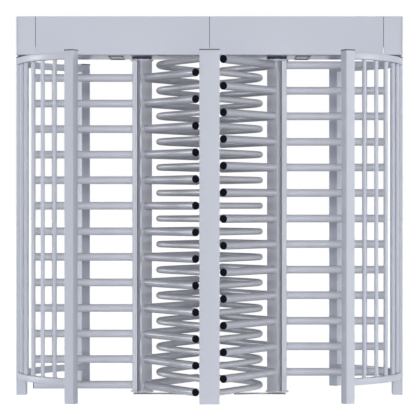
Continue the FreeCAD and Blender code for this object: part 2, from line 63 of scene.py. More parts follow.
# How close points lie that count as one height or place, and how far a faceted rim strays from its radius
NEAR = 1e-5
RIM_SLACK = 3e-4
# How square a face lies that counts as facing one way, and how long a cut's edge is that gets rounded
FACING = 0.99
LONG_EDGE = 0.05

# The angle in degrees up to which shading is smooth, on round pieces and on sheets and screws
ROUND_SMOOTH = 40
SHEET_SMOOTH = 30

# A weld bead's middle ring, as shares of the bead's leg: its distance from the joint and its swell
BEAD_MIDDLE = 0.45
BEAD_SWELL = 0.62

# Lengths of details that aren't among the settings, in metres
FINE_EDGE = 0.0008
TURNED_EDGE = 0.001
BROAD_EDGE = 0.0015
TIE_EDGE = 0.002
LID_EDGE = 0.0006
PLUG_RIM = 0.004
PLUG_DISH = 0.0006
HOOP_BURIED = 0.02
POST_HEAD = 0.02
END_CAP_PROUD = 0.002
END_CAP_RIM = 0.0025
LAP_PLAY = 0.0001
HATCH_WIDTH = 0.092
OPENING_PAST = 0.01
HOUSING_PLAY = 0.002
PIVOT_GAP = 0.0003
PLATE_INNER = 0.152
PLATE_CORNER = 0.003
ANCHOR_RADIUS = 0.006
ANCHOR_HEAD = 0.010
ANCHOR_INSET = 0.020
ANCHOR_PLAY = 0.0003
ANCHOR_PAST = 0.0001
FLANGE_SCREW_HEAD = 0.0065
FLANGE_SCREW_SHANK = 0.004
COVER_SCREW_HEAD = 0.0055
COVER_SCREW_SHANK = 0.003
COVER_SCREW_PITCH = 0.420

# Material, its colour among the settings, roughness and share of bare metal
COATS = (
    ("frame_powder_coat", "frame_paint", 0.38, 0.0),
    ("hoop_powder_coat", "hoop_paint", 0.45, 0.3),
    # The arm coat is a darker copy of the rotor paint: its darker colour is painted shade, its metal share is
    # real gloss
    ("arm_powder_coat", "shaded_arm_paint", 0.45, 0.3),
    ("rotor_powder_coat", "rotor_paint", 0.36, 0.0),
    # The column coat is a darker copy of the rotor paint: its darker colour is painted shade, its metal share
    # is real gloss
    ("column_powder_coat", "shaded_column_paint", 0.55, 0.35),
    ("header_powder_coat", "header_paint", 0.34, 0.0),
    # The tray's copy of the header coat carries painted shade on its underside
    ("tray_powder_coat", "header_paint", 0.25, 0.0),
    ("iron_enamel", "iron_black", 0.5, 0.0),
    ("box_enamel", "box_grey", 0.45, 0.0),
    ("coil_enamel", "coil_black", 0.4, 0.0),
    # The straps behind the seams are black so that the seams' gaps read dark: painted shade
    ("seam_black", "seam_black", 0.6, 0.0),
)
# Material, its colour among the settings, roughness and the stretch of its grain
METALS = (
    ("zinc_plating", "zinc", 0.42, (30, 30, 30)),
    ("ground_steel", "steel", 0.28, (8, 8, 400)),
    ("turned_steel", "turned_steel", 0.30, (4, 4, 700)),
    ("hardened_steel", "hardened_steel", 0.40, (60, 60, 60)),
)
SLOT_MATERIALS = {
    "frame_paint": "frame_powder_coat", "hoop_paint": "hoop_powder_coat",
    "rotor_paint": "rotor_powder_coat", "header_paint": "header_powder_coat",
    "zinc_plate": "zinc_plating", "bright_steel": "ground_steel", "turned_steel": "turned_steel",
    "hardened_steel": "hardened_steel", "dark_iron": "iron_enamel", "post_cap_paint": "cap_moulding",
    "plug_plastic": "plug_moulding", "box_enamel": "box_enamel", "solenoid_case": "coil_enamel",
    "seal_strip": "seam_black",
}
# Heights above the tray's underside between which its painted shade, a darker and cooler colour, gives way to
# the full coat
UNDERSIDE_SHADE_FADE = (0.0004, 0.0012)

# Each front lamp's turn from the camera in degrees, and its share of the front light
FRONT_FAN = ((0, 0.28), (-13, 0.13), (13, 0.13), (-31, 0.15), (31, 0.15), (-52, 0.08), (52, 0.08))
FRONT_SOFTNESS = 12
# How high the pale backdrop goes in a reflection, and how bright the ceiling over it is
BACKDROP_TOP = (0.25, 0.55)
CEILING_GLOW = 0.25
FLOOR_SIZE = 1200
FLOOR_TONES = (0.86, 0.90)
FLOOR_GLOW = 0.82


def number(name, description, default, **more):
    return bpy.props.FloatProperty(name=name, description=description, default=default, **more)


def length(name, description, default):
    return number(name, description, default, unit="LENGTH", precision=4)


def whole(name, description, default, least=1):
    return bpy.props.IntProperty(name=name, description=description, default=default, min=least)


def colour(name, description, *default):
    return bpy.props.FloatVectorProperty(name=name, description=description, default=(*default, 1), size=4,
                                         subtype="COLOR", min=0, max=1)


class TurnstileSizes(bpy.types.PropertyGroup):
    """Sizes of the dressed pieces, in metres."""
    rotor_x: length("Rotor axis", "Distance of each rotor's axis from the middle", 0.4225)
    upright_reach: length("Upright reach", "From the axis to the outer face of an upright", 0.060)
    upright_depth: length("Upright depth", "Depth of an upright towards the axis", 0.032)
    upright_width: length("Upright width", "Width of an upright across its wing", 0.073)
    upright_round: length("Upright rounding", "Radius of an upright's long edges", 0.0015)
    arm_radius: length("Arm radius", "Outer radius of an arm's tube and of its plug", 0.02415)
    rotor_reach: length("Rotor reach", "From the axis to the tip of an arm's plug", 0.681)
    plug_length: length("Plug length", "How far the plug stands out of the arm", 0.005)
    plug_dome: length("Plug dome", "Radius of the plug's rounded edge", 0.0014)
    arm_pitch: length("Arm pitch", "Height from one arm to the next", 0.160)
    left_first_arm: length("Left first arm", "Height of the left rotor's lowest arm", 0.060)
    right_first_arm: length("Right first arm", "Height of the right rotor's lowest arm", 0.140)
    weld_leg: length("Weld leg", "Width of a weld bead on each of its two faces", 0.0045)
    bar_radius: length("Bar radius", "Radius of a cage bar", 0.0127)
    bar_circle: length("Bar circle", "From the rotor's axis to a cage bar", 0.755)
    bar_step: number("Bar step", "Turn from one cage bar to the next, in degrees", 8.68)
    band_outer: length("Band outside", "Outer radius of a cage band", 0.7765)
    band_depth: length("Band depth", "Depth of a cage band", 0.040)
    band_height: length("Band height", "Height of a cage band", 0.040)
    band_round: length("Band rounding", "Radius of a cage band's long edges", 0.004)
    bottom_band: length("Bottom band", "Height of the bottom band's underside", 0.105)
    top_band: length("Top band", "Height of the top band's underside", 2.058)
    side_post_face: length("Side post face", "Front face of a side post from the middle", 0.060)
    end_post_circle: length("End post circle", "From the rotor's axis to the middle of an end post", 0.790)
    end_post_angle: number("End post angle", "Turn from X to an end post, in degrees", 59.4)
    end_post_half: length("End post half", "Half the width of an end post", 0.030)
    hoop_radius: length("Hoop radius", "Radius of a comb hoop's bar", 0.01905)
    hoop_tip: length("Hoop tip", "From the middle to the centreline of a hoop's bend", 0.315)
    hoop_gap: length("Hoop gap", "Gap between a hoop's leg and the far rotor's sweep", 0.006)
    hoop_entry: length("Hoop entry", "From the middle to a hoop's end on the centre post", 0.037)
    post_face: length("Centre post face", "Inner face of a centre post from the middle", 0.620)
    hoop_weld: length("Hoop weld", "Width of the weld bead at a hoop's end", 0.003)
    post_round: length("Post rounding", "Radius of a post's long edges", 0.004)
    post_wall: length("Post wall", "Wall of the centre and side posts", 0.004)
    cap_lap: length("Cap lap", "How far a flat cap goes down round its post", 0.003)
    cap_lap_wall: length("Cap lap wall", "How far a flat cap's lap stands out of its post", 0.0008)
    end_post_wall: length("End post wall", "Wall of the end posts", 0.003)
    header_corner: length("Header corner", "Radius of the header's upright corners", 0.020)
    header_rim: length("Header rim", "Radius round the header's top", 0.004)
    sheet: length("Sheet", "Thickness of the header's covers", 0.002)
    seam_gap: length("Seam gap", "Gap between two covers", 0.003)
    seam_round: length("Seam rounding", "Radius of the covers' edges along a seam", 0.0013)
    tray_plate: length("Tray plate", "Thickness of the header's tray", 0.006)
    tray_lip: length("Tray lip", "Wall of the lip round the tray", 0.003)
    hatch_frame: length("Hatch frame", "Width of the frame round a hatch", 0.009)
    hatch_seal: length("Hatch seal", "How far the seal hangs below a hatch's frame", 0.002)
    hub_radius: length("Hub radius", "Radius of a hub plate", 0.072)
    hub_thickness: length("Hub thickness", "Thickness of a hub plate", 0.008)
    hub_boss: length("Hub boss", "Radius of the top hub's boss", 0.0285)
    column_shaft: length("Column shaft", "Radius of the shaft inside the uprights", 0.0275)
    shaft_radius: length("Shaft radius", "Radius of the shaft in its bearings", 0.020)
    pivot_radius: length("Pivot radius", "Radius of the pin under a rotor", 0.012)
    pivot_flange: length("Pivot flange", "Radius of the flange under a rotor", 0.032)
    housing_flange: length("Housing flange", "Radius of a bearing housing's flange", 0.062)
    housing_neck: length("Housing neck", "Radius of a bearing housing's neck", 0.044)
    flange_thickness: length("Flange thickness", "Thickness of a bearing housing's flange", 0.010)
    flange_circle: length("Flange circle", "From the axis to a flange screw", 0.053)
    bearing_seat: length("Bearing seat", "Radius of the seat for a bearing", 0.034)
    bearing_width: length("Bearing width", "Depth of the seat for a bearing", 0.014)


class TurnstileCounts(bpy.types.PropertyGroup):
    """How many of each repeated piece there are, and how many facets."""
    arms: whole("Arms", "Arms in each wing", 13)
    bars: whole("Bars", "Bars in each quarter of a cage", 5)
    tube_sides: whole("Tube sides", "Facets round an arm", 32, 8)
    bar_sides: whole("Bar sides", "Facets round a bar, a hoop, a plug and a flat screw", 24, 8)
    turned_sides: whole("Turned sides", "Facets round a turned piece", 48, 8)
    hub_sides: whole("Hub sides", "Facets round a hub plate", 64, 8)


class TurnstileFinish(bpy.types.PropertyGroup):
    """Colours, wear and painted shade."""
    frame_paint: colour("Frame paint", "Powder coat on posts and cages", 0.585, 0.615, 0.70)
    hoop_paint: colour("Hoop paint", "Powder coat on the comb hoops", 0.49, 0.50, 0.545)
    # Painted shade: a darker copy of the rotor paint for the front and rear wings, which the outer wing
    # doesn't get
    shaded_arm_paint: colour("Arm paint", "Powder coat on the front and rear arms", 0.49, 0.505, 0.56)
    rotor_paint: colour("Rotor paint", "Powder coat on outer arms, hubs and shafts", 0.63, 0.65, 0.72)
    # Painted shade: a darker copy of the rotor paint for the uprights, which stand deep among the arms
    shaded_column_paint: colour("Column paint", "Powder coat on the rotor uprights", 0.46, 0.475, 0.525)
    header_paint: colour("Header paint", "Powder coat on the header", 0.565, 0.594, 0.677)
    # Painted shade: this colour is darker and cooler than the header's coat and stands in for the shade under
    # the header
    underside: colour("Underside", "Tint of the coat on the header's underside", 0.40, 0.44, 0.59)
    plug_black: colour("Plug black", "Moulded plugs in the arm ends", 0.006, 0.008, 0.015)
    cap_grey: colour("Cap grey", "Moulded caps on the posts", 0.06, 0.065, 0.075)
    iron_black: colour("Iron black", "Enamel on the cast iron", 0.12, 0.13, 0.14)
    box_grey: colour("Box grey", "Enamel on the controller box", 0.35, 0.37, 0.39)
    coil_black: colour("Coil black", "Enamel on the solenoids", 0.05, 0.05, 0.06)
    # Painted shade: the straps behind the seams are black to darken the seams' gaps
    seam_black: colour("Seam black", "Straps behind the header's seams", 0.03, 0.03, 0.034)
    zinc: colour("Zinc", "Zinc plated steel", 0.30, 0.31, 0.32)
    steel: colour("Steel", "Bright ground steel", 0.56, 0.56, 0.57)
    turned_steel: colour("Turned steel", "Steel from the lathe", 0.48, 0.48, 0.50)
    hardened_steel: colour("Hardened steel", "Dark hardened steel", 0.22, 0.22, 0.24)
    scuff: colour("Scuff", "Faint scuffs on the powder coat", 0.8, 0.8, 0.8)
    handling: colour("Handling", "Handling marks on the mouldings", 0.10, 0.10, 0.10)
    dust: colour("Dust", "Dust that settles low on the posts", 0.42, 0.40, 0.37)
    dust_amount: number("Dust amount", "How much dust lies near the floor", 0.05, min=0, soft_max=1)
    dust_reach: length("Dust reach", "How high the dust goes", 0.3)
    peel_depth: number("Peel depth", "Strength of the paint's fine ripple", 0.12, min=0, soft_max=1)
    coat_gloss: number("Coat gloss", "Specular level of the powder coat", 0.12, min=0, soft_max=1)
    plug_gloss: number("Plug gloss", "Specular level of the plugs", 0.15, min=0, soft_max=1)


class TurnstileStudio(bpy.types.PropertyGroup):
    """Lights, floor and camera."""
    front_power: number("Front", "Strength of the low wide front light", 3.5, min=0)
    right_power: number("Right", "Strength of the right light", 1.9, min=0)
    left_power: number("Left", "Strength of the left light", 1.9, min=0)
    top_power: number("Top", "Strength of the light from above", 0.12, min=0)
    cover_power: number("Covers", "Strength of the lights on the header's ends and top", 1.32, min=0)
    back_power: number("Cover back", "Strength of the light on the header's back", 0.77, min=0)
    ambient: number("Ambient", "Strength of the even light", 0.10, min=0)
    lens: number("Lens", "Focal length", 191.06, unit="CAMERA")
    camera_distance: length("Camera distance", "From the origin to the camera", 13.96)
    camera_height: length("Camera height", "Height of the camera above the floor", 1.170)
    camera_shift: number("Shift", "Vertical lens shift", -0.0063)


def sizes():
    return bpy.context.scene.turnstile_sizes


def counts():
    return bpy.context.scene.turnstile_counts


def look():
    return bpy.context.scene.turnstile_finish


def tint(name):
    """One colour of the settings."""
    return tuple(getattr(look(), name))


# Modelling helpers

def clear_selection():
    """Leaves edit mode and deselects every object."""
    if bpy.context.object and bpy.context.object.mode != "OBJECT":
        bpy.ops.object.mode_set(mode="OBJECT")
    bpy.ops.object.select_all(action="DESELECT")


def select_only(*pieces):
    clear_selection()
    for piece in pieces:
        piece.select_set(True)
    bpy.context.view_layer.objects.active = pieces[0]


def named(name):
    """Names the piece that was just added and puts its place into its mesh."""
    piece = bpy.context.object
    piece.name = name
    piece.data.name = name
    bpy.ops.object.transform_apply(location=True, rotation=True, scale=True)
    return piece


def add_cylinder(name, radius, start, end, sides):
    """A round bar from one point to another."""
    clear_selection()
    run = Vector(end) - Vector(start)
    turn = run.to_track_quat("Z", "Y").to_euler()
    bpy.ops.mesh.primitive_cylinder_add(vertices=sides, radius=radius, depth=run.length, end_fill_type="NGON",
                                        location=(Vector(start) + Vector(end)) / 2, rotation=turn)
    return named(name)


def add_cone(name, foot, head, low, high):
    """A cone about Z, with the radius of its foot and of its head."""
    clear_selection()
    bpy.ops.mesh.primitive_cone_add(vertices=counts().bar_sides, radius1=foot, radius2=head, depth=high - low,
                                    location=(0, 0, (low + high) / 2))
    return named(name)


def add_box(name, low, high):
    """A box between two corners."""
    clear_selection()
    low, high = Vector(low), Vector(high)
    bpy.ops.mesh.primitive_cube_add(size=1, location=(low + high) / 2)
    bpy.context.object.scale = high - low
    return named(name)


def edit(piece, mode="FACE"):
    """Enters edit mode on one piece with nothing selected."""
    select_only(piece)
    bpy.ops.object.mode_set(mode="EDIT")
    bpy.ops.mesh.select_mode(type=mode)
    bpy.ops.mesh.select_all(action="DESELECT")


def pick(piece, kind, test):
    """Enters edit mode and selects the faces, edges or vertices whose place passes the test."""
    edit(piece, kind)
    done()
    mesh = piece.data
    for group in (mesh.vertices, mesh.edges, mesh.polygons):
        group.foreach_set("select", [False] * len(group))
    if kind == "VERT":
        for vertex in mesh.vertices:
            vertex.select = test(vertex.co)
    elif kind == "EDGE":
        for edge in mesh.edges:
            edge.select = test(*[mesh.vertices[i].co for i in edge.vertices])
    else:
        for face in mesh.polygons:
            face.select = test(face.center, face.normal)
    bpy.ops.object.mode_set(mode="EDIT")
    bpy.ops.mesh.select_mode(type=kind)


def done():
    bpy.ops.object.mode_set(mode="OBJECT")


def select_mesh():
    bpy.ops.mesh.select_all(action="SELECT")


def cut_along(place, normal, **drop):
    """In edit mode, cuts the whole mesh along a plane, and may drop what lies on one side of it."""
    select_mesh()
    bpy.ops.mesh.bisect(plane_co=place, plane_no=normal, use_fill=bool(drop), **drop)


def sink(piece, test, border, run):
    """Insets the faces that pass a test by a border and extrudes them along Z."""
    pick(piece, "FACE", test)
    bpy.ops.mesh.inset(thickness=border)
    bpy.ops.mesh.extrude_region_move(TRANSFORM_OT_translate={"value": (0, 0, run)})
    done()


def bevel_edges(piece, test, offset, segments=3):
    """Rounds the edges whose two ends pass the test."""
    pick(piece, "EDGE", test)
    bpy.ops.mesh.bevel(offset=offset, segments=segments, affect="EDGES")
    done()


def facing_up(centre, normal):
    return normal.z > FACING


def facing_down(centre, normal):
    return normal.z < -FACING


def upright_edge(a, b):
    return abs(a.x - b.x) < NEAR and abs(a.y - b.y) < NEAR


def level_edge(level):
    """A test for edges that lie at one height."""
    return lambda a, b: abs(a.z - level) < NEAR and abs(b.z - level) < NEAR


def rim_edge(radius, level):
    """A test for the edges of a round rim about Z."""
    def on_rim(point):
        return abs(point.z - level) < NEAR and abs(math.hypot(point.x, point.y) - radius) < RIM_SLACK
    return lambda a, b: on_rim(a) and on_rim(b)


def cut_rim(place, low, high):
    """A test for the long outer edges of a cut across a box."""
    def outside(p):
        return abs(p.x - place) < NEAR and (p.y < low.y + NEAR or p.y > high.y - NEAR or p.z > high.z - NEAR)
    return lambda a, b: outside(a) and outside(b) and (a - b).length > LONG_EDGE


def cut_from(piece, cutter):
    """Takes one piece's shape out of another and removes the cutter."""
    select_only(piece)
    bpy.ops.object.modifier_add(type="BOOLEAN")
    modifier = piece.modifiers[-1]
    modifier.operation = "DIFFERENCE"
    modifier.solver = "EXACT"
    modifier.object = cutter
    bpy.ops.object.modifier_apply(modifier=modifier.name)
    remove(cutter)


def remove(*pieces):
    for piece in pieces:
        bpy.data.objects.remove(piece)


def copy_of(piece, move):
    """A copy with its own mesh, moved by a matrix."""
    twin = piece.copy()
    twin.data = piece.data.copy()
    twin.data.transform(move)
    if move.determinant() < 0:
        twin.data.flip_normals()
    bpy.context.collection.objects.link(twin)
    return twin


def rotor_axis(sign, height=0.0):
    """The place of the left (-1) or the right (1) rotor's axis."""
    return Matrix.Translation((sign * sizes().rotor_x, 0, height))


def about_rotor(piece, sign, degrees, height=0.0):
    """A copy turned about a rotor's axis, from straight outwards. The left side mirrors the right."""
    turn = sign * degrees + (180 if sign < 0 else 0)
    return copy_of(piece, rotor_axis(sign, height) @ Matrix.Rotation(math.radians(turn), 4, "Z"))


def arm_heights(sign):
    """The heights of one rotor's arms."""
    size = sizes()
    first = size.left_first_arm if sign < 0 else size.right_first_arm
    return [first + row * size.arm_pitch for row in range(counts().arms)]


def finished(name, parts, slot, node, body="frame", smooth=ROUND_SMOOTH, coat=""):
    """Makes one piece of its parts, smooths its round faces, gives it its coat and its body, and hides the
    node it stands in for.
    The slot's own material serves where no other coat is named."""
    select_only(*parts)
    if len(parts) > 1:
        bpy.ops.object.join()
    piece = bpy.context.object
    piece.name = name
    piece.data.name = name
    bpy.ops.object.shade_smooth_by_angle(angle=math.radians(smooth))
    piece.data.materials.clear()
    piece.data.materials.append(bpy.data.materials[coat or SLOT_MATERIALS[slot]])
    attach(piece, body)
    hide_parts(node)


def turned(name, radius, low, high, steps, bore=0.0, sides=0):
    """A turned piece about Z: a disc, with steps inset from its top one after another, and a bore."""
    piece = add_cylinder(name, radius, (0, 0, low), (0, 0, high), sides or counts().turned_sides)

    def end_face(level, way):
        return lambda centre, normal: (way * normal.z > FACING and abs(centre.z - level) < NEAR
                                       and math.hypot(centre.x, centre.y) < RIM_SLACK)

    reach, top = radius, high
    for step_radius, rise in steps:
        sink(piece, end_face(top, 1), reach - step_radius, rise)
        reach, top = step_radius, top + rise
    if bore:
        upper, lower = end_face(top, 1), end_face(low, -1)
        for face, start in ((upper, reach), (lower, radius)):
            pick(piece, "FACE", face)
            bpy.ops.mesh.inset(thickness=start - bore)
        pick(piece, "FACE", lambda centre, normal: upper(centre, normal) or lower(centre, normal))
        bpy.ops.mesh.bridge_edge_loops()
        done()
    return piece


def socket_screw(head, height, shank, run):
    """A screw along Z with a six sided socket sunk in its domed head, which stands on height 0."""
    dome, socket, depth = height * 0.45, head * 0.5, height * 0.7
    sides = 12
    screw = add_cylinder("screw", head, (0, 0, 0), (0, 0, height), sides)
    bevel_edges(screw, level_edge(height), dome)
    sink(screw, facing_up, head - dome - socket, -depth)

    def between_corners(point):
        corner = round(math.degrees(math.atan2(point.y, point.x)) * sides / 360)
        return math.hypot(point.x, point.y) < socket + RIM_SLACK and corner % 2 == 1

    pick(screw, "VERT", between_corners)
    shrink = math.cos(math.radians(360 / sides))
    bpy.ops.transform.resize(value=(shrink, shrink, 1), center_override=(0, 0, 0))
    sink(screw, facing_down, head - shank, -run)
    return screw


def weld_bead(bar, radius, leg, end, inward, along):
    """In edit mode, swells a bar where it meets a face. Inward is square to that face, and along is the
    bar's own run for each unit inward."""
    rings = ((0.0, leg), (leg * BEAD_MIDDLE, leg * BEAD_SWELL))
    for step in (leg, leg * BEAD_MIDDLE):
        cut_along(end + along * step, inward)
    for step, growth in rings:
        centre = end + along * step
        pick(bar, "VERT", lambda point: abs((point - centre).dot(inward)) < NEAR)
        scale = (radius + growth) / radius
        bpy.ops.transform.resize(value=(scale, scale, scale), center_override=centre)


def welded_bar(name, radius, start, end, sides, both_ends=True):
    """A bar with a weld bead at its start, and at its end too if both meet something."""
    bar = add_cylinder(name, radius, start, end, sides)
    start, end = Vector(start), Vector(end)
    along = (end - start).normalized()
    edit(bar)
    weld_bead(bar, radius, sizes().weld_leg, start, along, along)
    if both_ends:
        weld_bead(bar, radius, sizes().weld_leg, end, -along, -along)
    done()
    return bar


# Node groups and materials

def add_node(tree, kind, inputs, **settings):
    """A node with its settings. Each input is linked to a socket or set to a plain value."""
    node = tree.nodes.new(f"ShaderNode{kind}")
    for name, value in settings.items():
        setattr(node, name, value)
    for name, value in inputs.items():
        feed(tree, node.inputs[name], value)
    return node


def feed(tree, socket, value):
    if isinstance(value, bpy.types.NodeSocket):
        tree.links.new(value, socket)
    else:
        socket.default_value = value


def maths(tree, operation, first, second, clamp=False):
    """A maths node. Each operand is a socket or a number."""
    return add_node(tree, "Math", {0: first, 1: second}, operation=operation, use_clamp=clamp).outputs[0]


def noise(tree, vector, scale, detail=2.0, rough=0.5):
    inputs = {"Vector": vector, "Scale": scale, "Detail": detail, "Roughness": rough}
    return add_node(tree, "TexNoise", inputs).outputs["Fac"]


def remap(tree, value, source, target):
    """Carries a value from one range over to another."""
    ends = zip(("From Min", "From Max", "To Min", "To Max"), (*source, *target))
    return add_node(tree, "MapRange", {"Value": value, **dict(ends)}).outputs["Result"]


def mix_colour(tree, factor, first, second):
    """A Mix node for colours, whose factor is input 0 and whose colours are inputs 6 and 7."""
    return add_node(tree, "Mix", {0: factor, 6: first, 7: second}, data_type="RGBA").outputs[2]


def height_of(tree, vector):
    return add_node(tree, "SeparateXYZ", {0: vector}).outputs["Z"]


def stretched(tree, vector, stretch):
    return add_node(tree, "VectorMath", {0: vector, 1: stretch}, operation="MULTIPLY").outputs[0]


def new_group(name, inputs, outputs):
    """An empty node group. A default of three numbers makes a vector and one of four a colour."""
    group = bpy.data.node_groups.new(name, "ShaderNodeTree")
    for label, value in {"Vector": (0, 0, 0), **inputs}.items():
        kind = {3: "Vector", 4: "Color"}[len(value)] if isinstance(value, tuple) else "Float"
        socket = group.interface.new_socket(label, in_out="INPUT", socket_type=f"NodeSocket{kind}")
        socket.default_value = value
    for label in outputs:
        kind = "Color" if label == "Color" else "Float"
        group.interface.new_socket(label, in_out="OUTPUT", socket_type=f"NodeSocket{kind}")
    return group, group.nodes.new("NodeGroupInput").outputs, group.nodes.new("NodeGroupOutput").inputs


def paint_mottle_group():
    """A coat's colour and roughness, each varied a little over the surface."""
    inputs = {"Color": (1, 1, 1, 1), "Variation": 0.03, "Roughness": 0.4}
    group, given, result = new_group("paint_mottle", inputs, ("Color", "Roughness"))
    broad = noise(group, given["Vector"], scale=1.7, detail=3.0)
    fine = noise(group, given["Vector"], scale=55.0, detail=2.0)
    both = maths(group, "ADD", maths(group, "MULTIPLY", broad, 0.7), maths(group, "MULTIPLY", fine, 0.3))
    centred = maths(group, "SUBTRACT", both, 0.5)
    factor = maths(group, "ADD", maths(group, "MULTIPLY", centred, given["Variation"]), 1.0)
    varied = add_node(group, "VectorMath", {0: given["Color"], "Scale": factor}, operation="SCALE")
    feed(group, result["Color"], varied.outputs[0])
    spread = maths(group, "MULTIPLY", centred, 0.25)
    feed(group, result["Roughness"], maths(group, "ADD", spread, given["Roughness"], clamp=True))


def orange_peel_group():
    """The fine ripple of a coat and the grain of a moulding."""
    group, given, result = new_group("orange_peel", {"Scale": 420.0}, ("Height",))
    ripple = noise(group, given["Vector"], given["Scale"], detail=1.0, rough=0.4)
    slow = noise(group, given["Vector"], scale=60.0, detail=1.0, rough=0.4)
    feed(group, result["Height"], maths(group, "ADD", ripple, maths(group, "MULTIPLY", slow, 0.6)))


def low_dust_group():
    """Patchy dust that thins out with height."""
    group, given, result = new_group("low_dust", {"Reach": 0.35, "Amount": 0.3}, ("Mask",))
    rise = maths(group, "DIVIDE", height_of(group, given["Vector"]), given["Reach"])
    fall = maths(group, "SUBTRACT", 1.0, rise, clamp=True)
    patches = noise(group, given["Vector"], scale=22.0, detail=4.0, rough=0.6)
    patches = remap(group, patches, (0.3, 0.7), (0.3, 1.0))
    mask = maths(group, "MULTIPLY", maths(group, "POWER", fall, 2.0), patches)
    feed(group, result["Mask"], maths(group, "MULTIPLY", mask, given["Amount"], clamp=True))


def scuffs_group():
    """Short streaks where a surface was rubbed."""
    group, given, result = new_group("scuffs", {"Scale": 9.0, "Amount": 0.2}, ("Mask",))
    place = stretched(group, given["Vector"], (1.0, 1.0, 6.0))
    streaks = noise(group, place, given["Scale"], detail=6.0, rough=0.65)
    sharp = remap(group, streaks, (0.62, 0.70), (0.0, 1.0))
    feed(group, result["Mask"], maths(group, "MULTIPLY", sharp, given["Amount"], clamp=True))


def brushed_grain_group():
    """The grain that grinding or turning leaves."""
    group, given, result = new_group("brushed_grain", {"Stretch": (8, 8, 400)}, ("Height", "Mask"))
    place = stretched(group, given["Vector"], given["Stretch"])
    grain = noise(group, place, scale=1.0, detail=3.0, rough=0.6)
    feed(group, result["Height"], grain)
    feed(group, result["Mask"], remap(group, grain, (0.3, 0.7), (0.0, 1.0)))


GROUPS = (paint_mottle_group, orange_peel_group, low_dust_group, scuffs_group, brushed_grain_group)


def use_group(tree, name, vector, **values):
    """Places a node group in a material and gives its outputs."""
    group = bpy.data.node_groups[name]
    return add_node(tree, "Group", {"Vector": vector, **values}, node_tree=group).outputs


def new_material(name, gloss=0.5, metal=0.0):
    """The nodes of a new material: its Principled shader, and object coordinates to pattern it by."""
    material = bpy.data.materials.new(name)
    material.use_nodes = True
    tree = material.node_tree
    shader = tree.nodes["Principled BSDF"].inputs
    shader["Specular IOR Level"].default_value = gloss
    shader["Metallic"].default_value = metal
    return tree, shader, tree.nodes.new("ShaderNodeTexCoord").outputs["Object"]


def surface(tree, shader, tone, roughness, height, strength, distance):
    """Gives a shader its colour, its roughness and a bump."""
    bump = add_node(tree, "Bump", {"Strength": strength, "Distance": distance, "Height": height})
    feed(tree, shader["Base Color"], tone)
    feed(tree, shader["Roughness"], roughness)
    feed(tree, shader["Normal"], bump.outputs["Normal"])


def paint(name, tone, roughness, metal, dusty):
    """Powder coat: a mottled colour, dust near the floor, faint scuffs and a fine ripple."""
    tree, shader, place = new_material(name, look().coat_gloss, metal)
    coat = use_group(tree, "paint_mottle", place, Color=tone, Variation=0.03, Roughness=roughness)
    tone = coat["Color"]
    if dusty:
        dust = use_group(tree, "low_dust", place, Reach=look().dust_reach, Amount=look().dust_amount)
        tone = mix_colour(tree, dust["Mask"], tone, tint("dust"))
    scuff = use_group(tree, "scuffs", place, Scale=11.0, Amount=0.05)
    tone = mix_colour(tree, scuff["Mask"], tone, tint("scuff"))
    peel = use_group(tree, "orange_peel", place, Scale=420.0)
    surface(tree, shader, tone, coat["Roughness"], peel["Height"], look().peel_depth, distance=0.0006)


def paint_underside_shade(material, tone):
    """Painted shade: a darker, cooler colour on the faces that look down, where the header's shade falls, and
    the full coat on the hems.
    """
    tree = material.node_tree
    shader = tree.nodes["Principled BSDF"].inputs
    place = tree.nodes.new("ShaderNodeTexCoord").outputs["Object"]
    shade_fade = [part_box("header_tray")[0].z + step for step in UNDERSIDE_SHADE_FADE]
    below = remap(tree, height_of(tree, place), shade_fade, (1.0, 0.0))
    coat = shader["Base Color"].links[0].from_socket
    feed(tree, shader["Base Color"], mix_colour(tree, below, coat, tone))


def moulding(name, tone, gloss=0.5):
    """Moulded plastic with a fine grain and faint handling marks."""
    tree, shader, place = new_material(name, gloss)
    skin = use_group(tree, "paint_mottle", place, Color=tone, Variation=0.3, Roughness=0.45)
    scuff = use_group(tree, "scuffs", place, Scale=30.0, Amount=0.12)
    tone = mix_colour(tree, scuff["Mask"], skin["Color"], tint("handling"))
    grain = use_group(tree, "orange_peel", place, Scale=900.0)
    surface(tree, shader, tone, skin["Roughness"], grain["Height"], strength=0.25, distance=0.0004)


def bare_metal(name, tone, roughness, stretch):
    """Bare or plated steel with a directional grain."""
    tree, shader, place = new_material(name, metal=1.0)
    grain = use_group(tree, "brushed_grain", place, Stretch=stretch)
    coat = use_group(tree, "paint_mottle", place, Color=tone, Variation=0.12, Roughness=roughness)
    darker = (*[0.6 * part for part in tone[:3]], 1)
    tone = mix_colour(tree, maths(tree, "MULTIPLY", grain["Mask"], 0.18), coat["Color"], darker)
    surface(tree, shader, tone, coat["Roughness"], grain["Height"], strength=0.1, distance=0.0003)


class TURNSTILE_OT_finishes(bpy.types.Operator):
    """Make the materials and give them to the frame's own pieces"""
    bl_idname = "turnstile.finishes"
    bl_label = "Finishes"

    def execute(self, context):
        for build in GROUPS:
            build()
        for name, tone, roughness, metal in COATS:
            paint(name, tint(tone), roughness, metal, dusty=name == "frame_powder_coat")
        # Painted shade on the faces of the tray that look down
        paint_underside_shade(bpy.data.materials["tray_powder_coat"], tint("underside"))
        moulding("plug_moulding", tint("plug_black"), look().plug_gloss)
        moulding("cap_moulding", tint("cap_grey"))
        for name, tone, roughness, stretch in METALS:
            bare_metal(name, tint(tone), roughness, stretch)
        for subpart in frame["record"]["subparts"]:
            node = frame["nodes"][subpart["node"]]
            node.data.materials.clear()
            node.data.materials.append(bpy.data.materials[SLOT_MATERIALS[subpart["material_slot"]]])
        return {"FINISHED"}


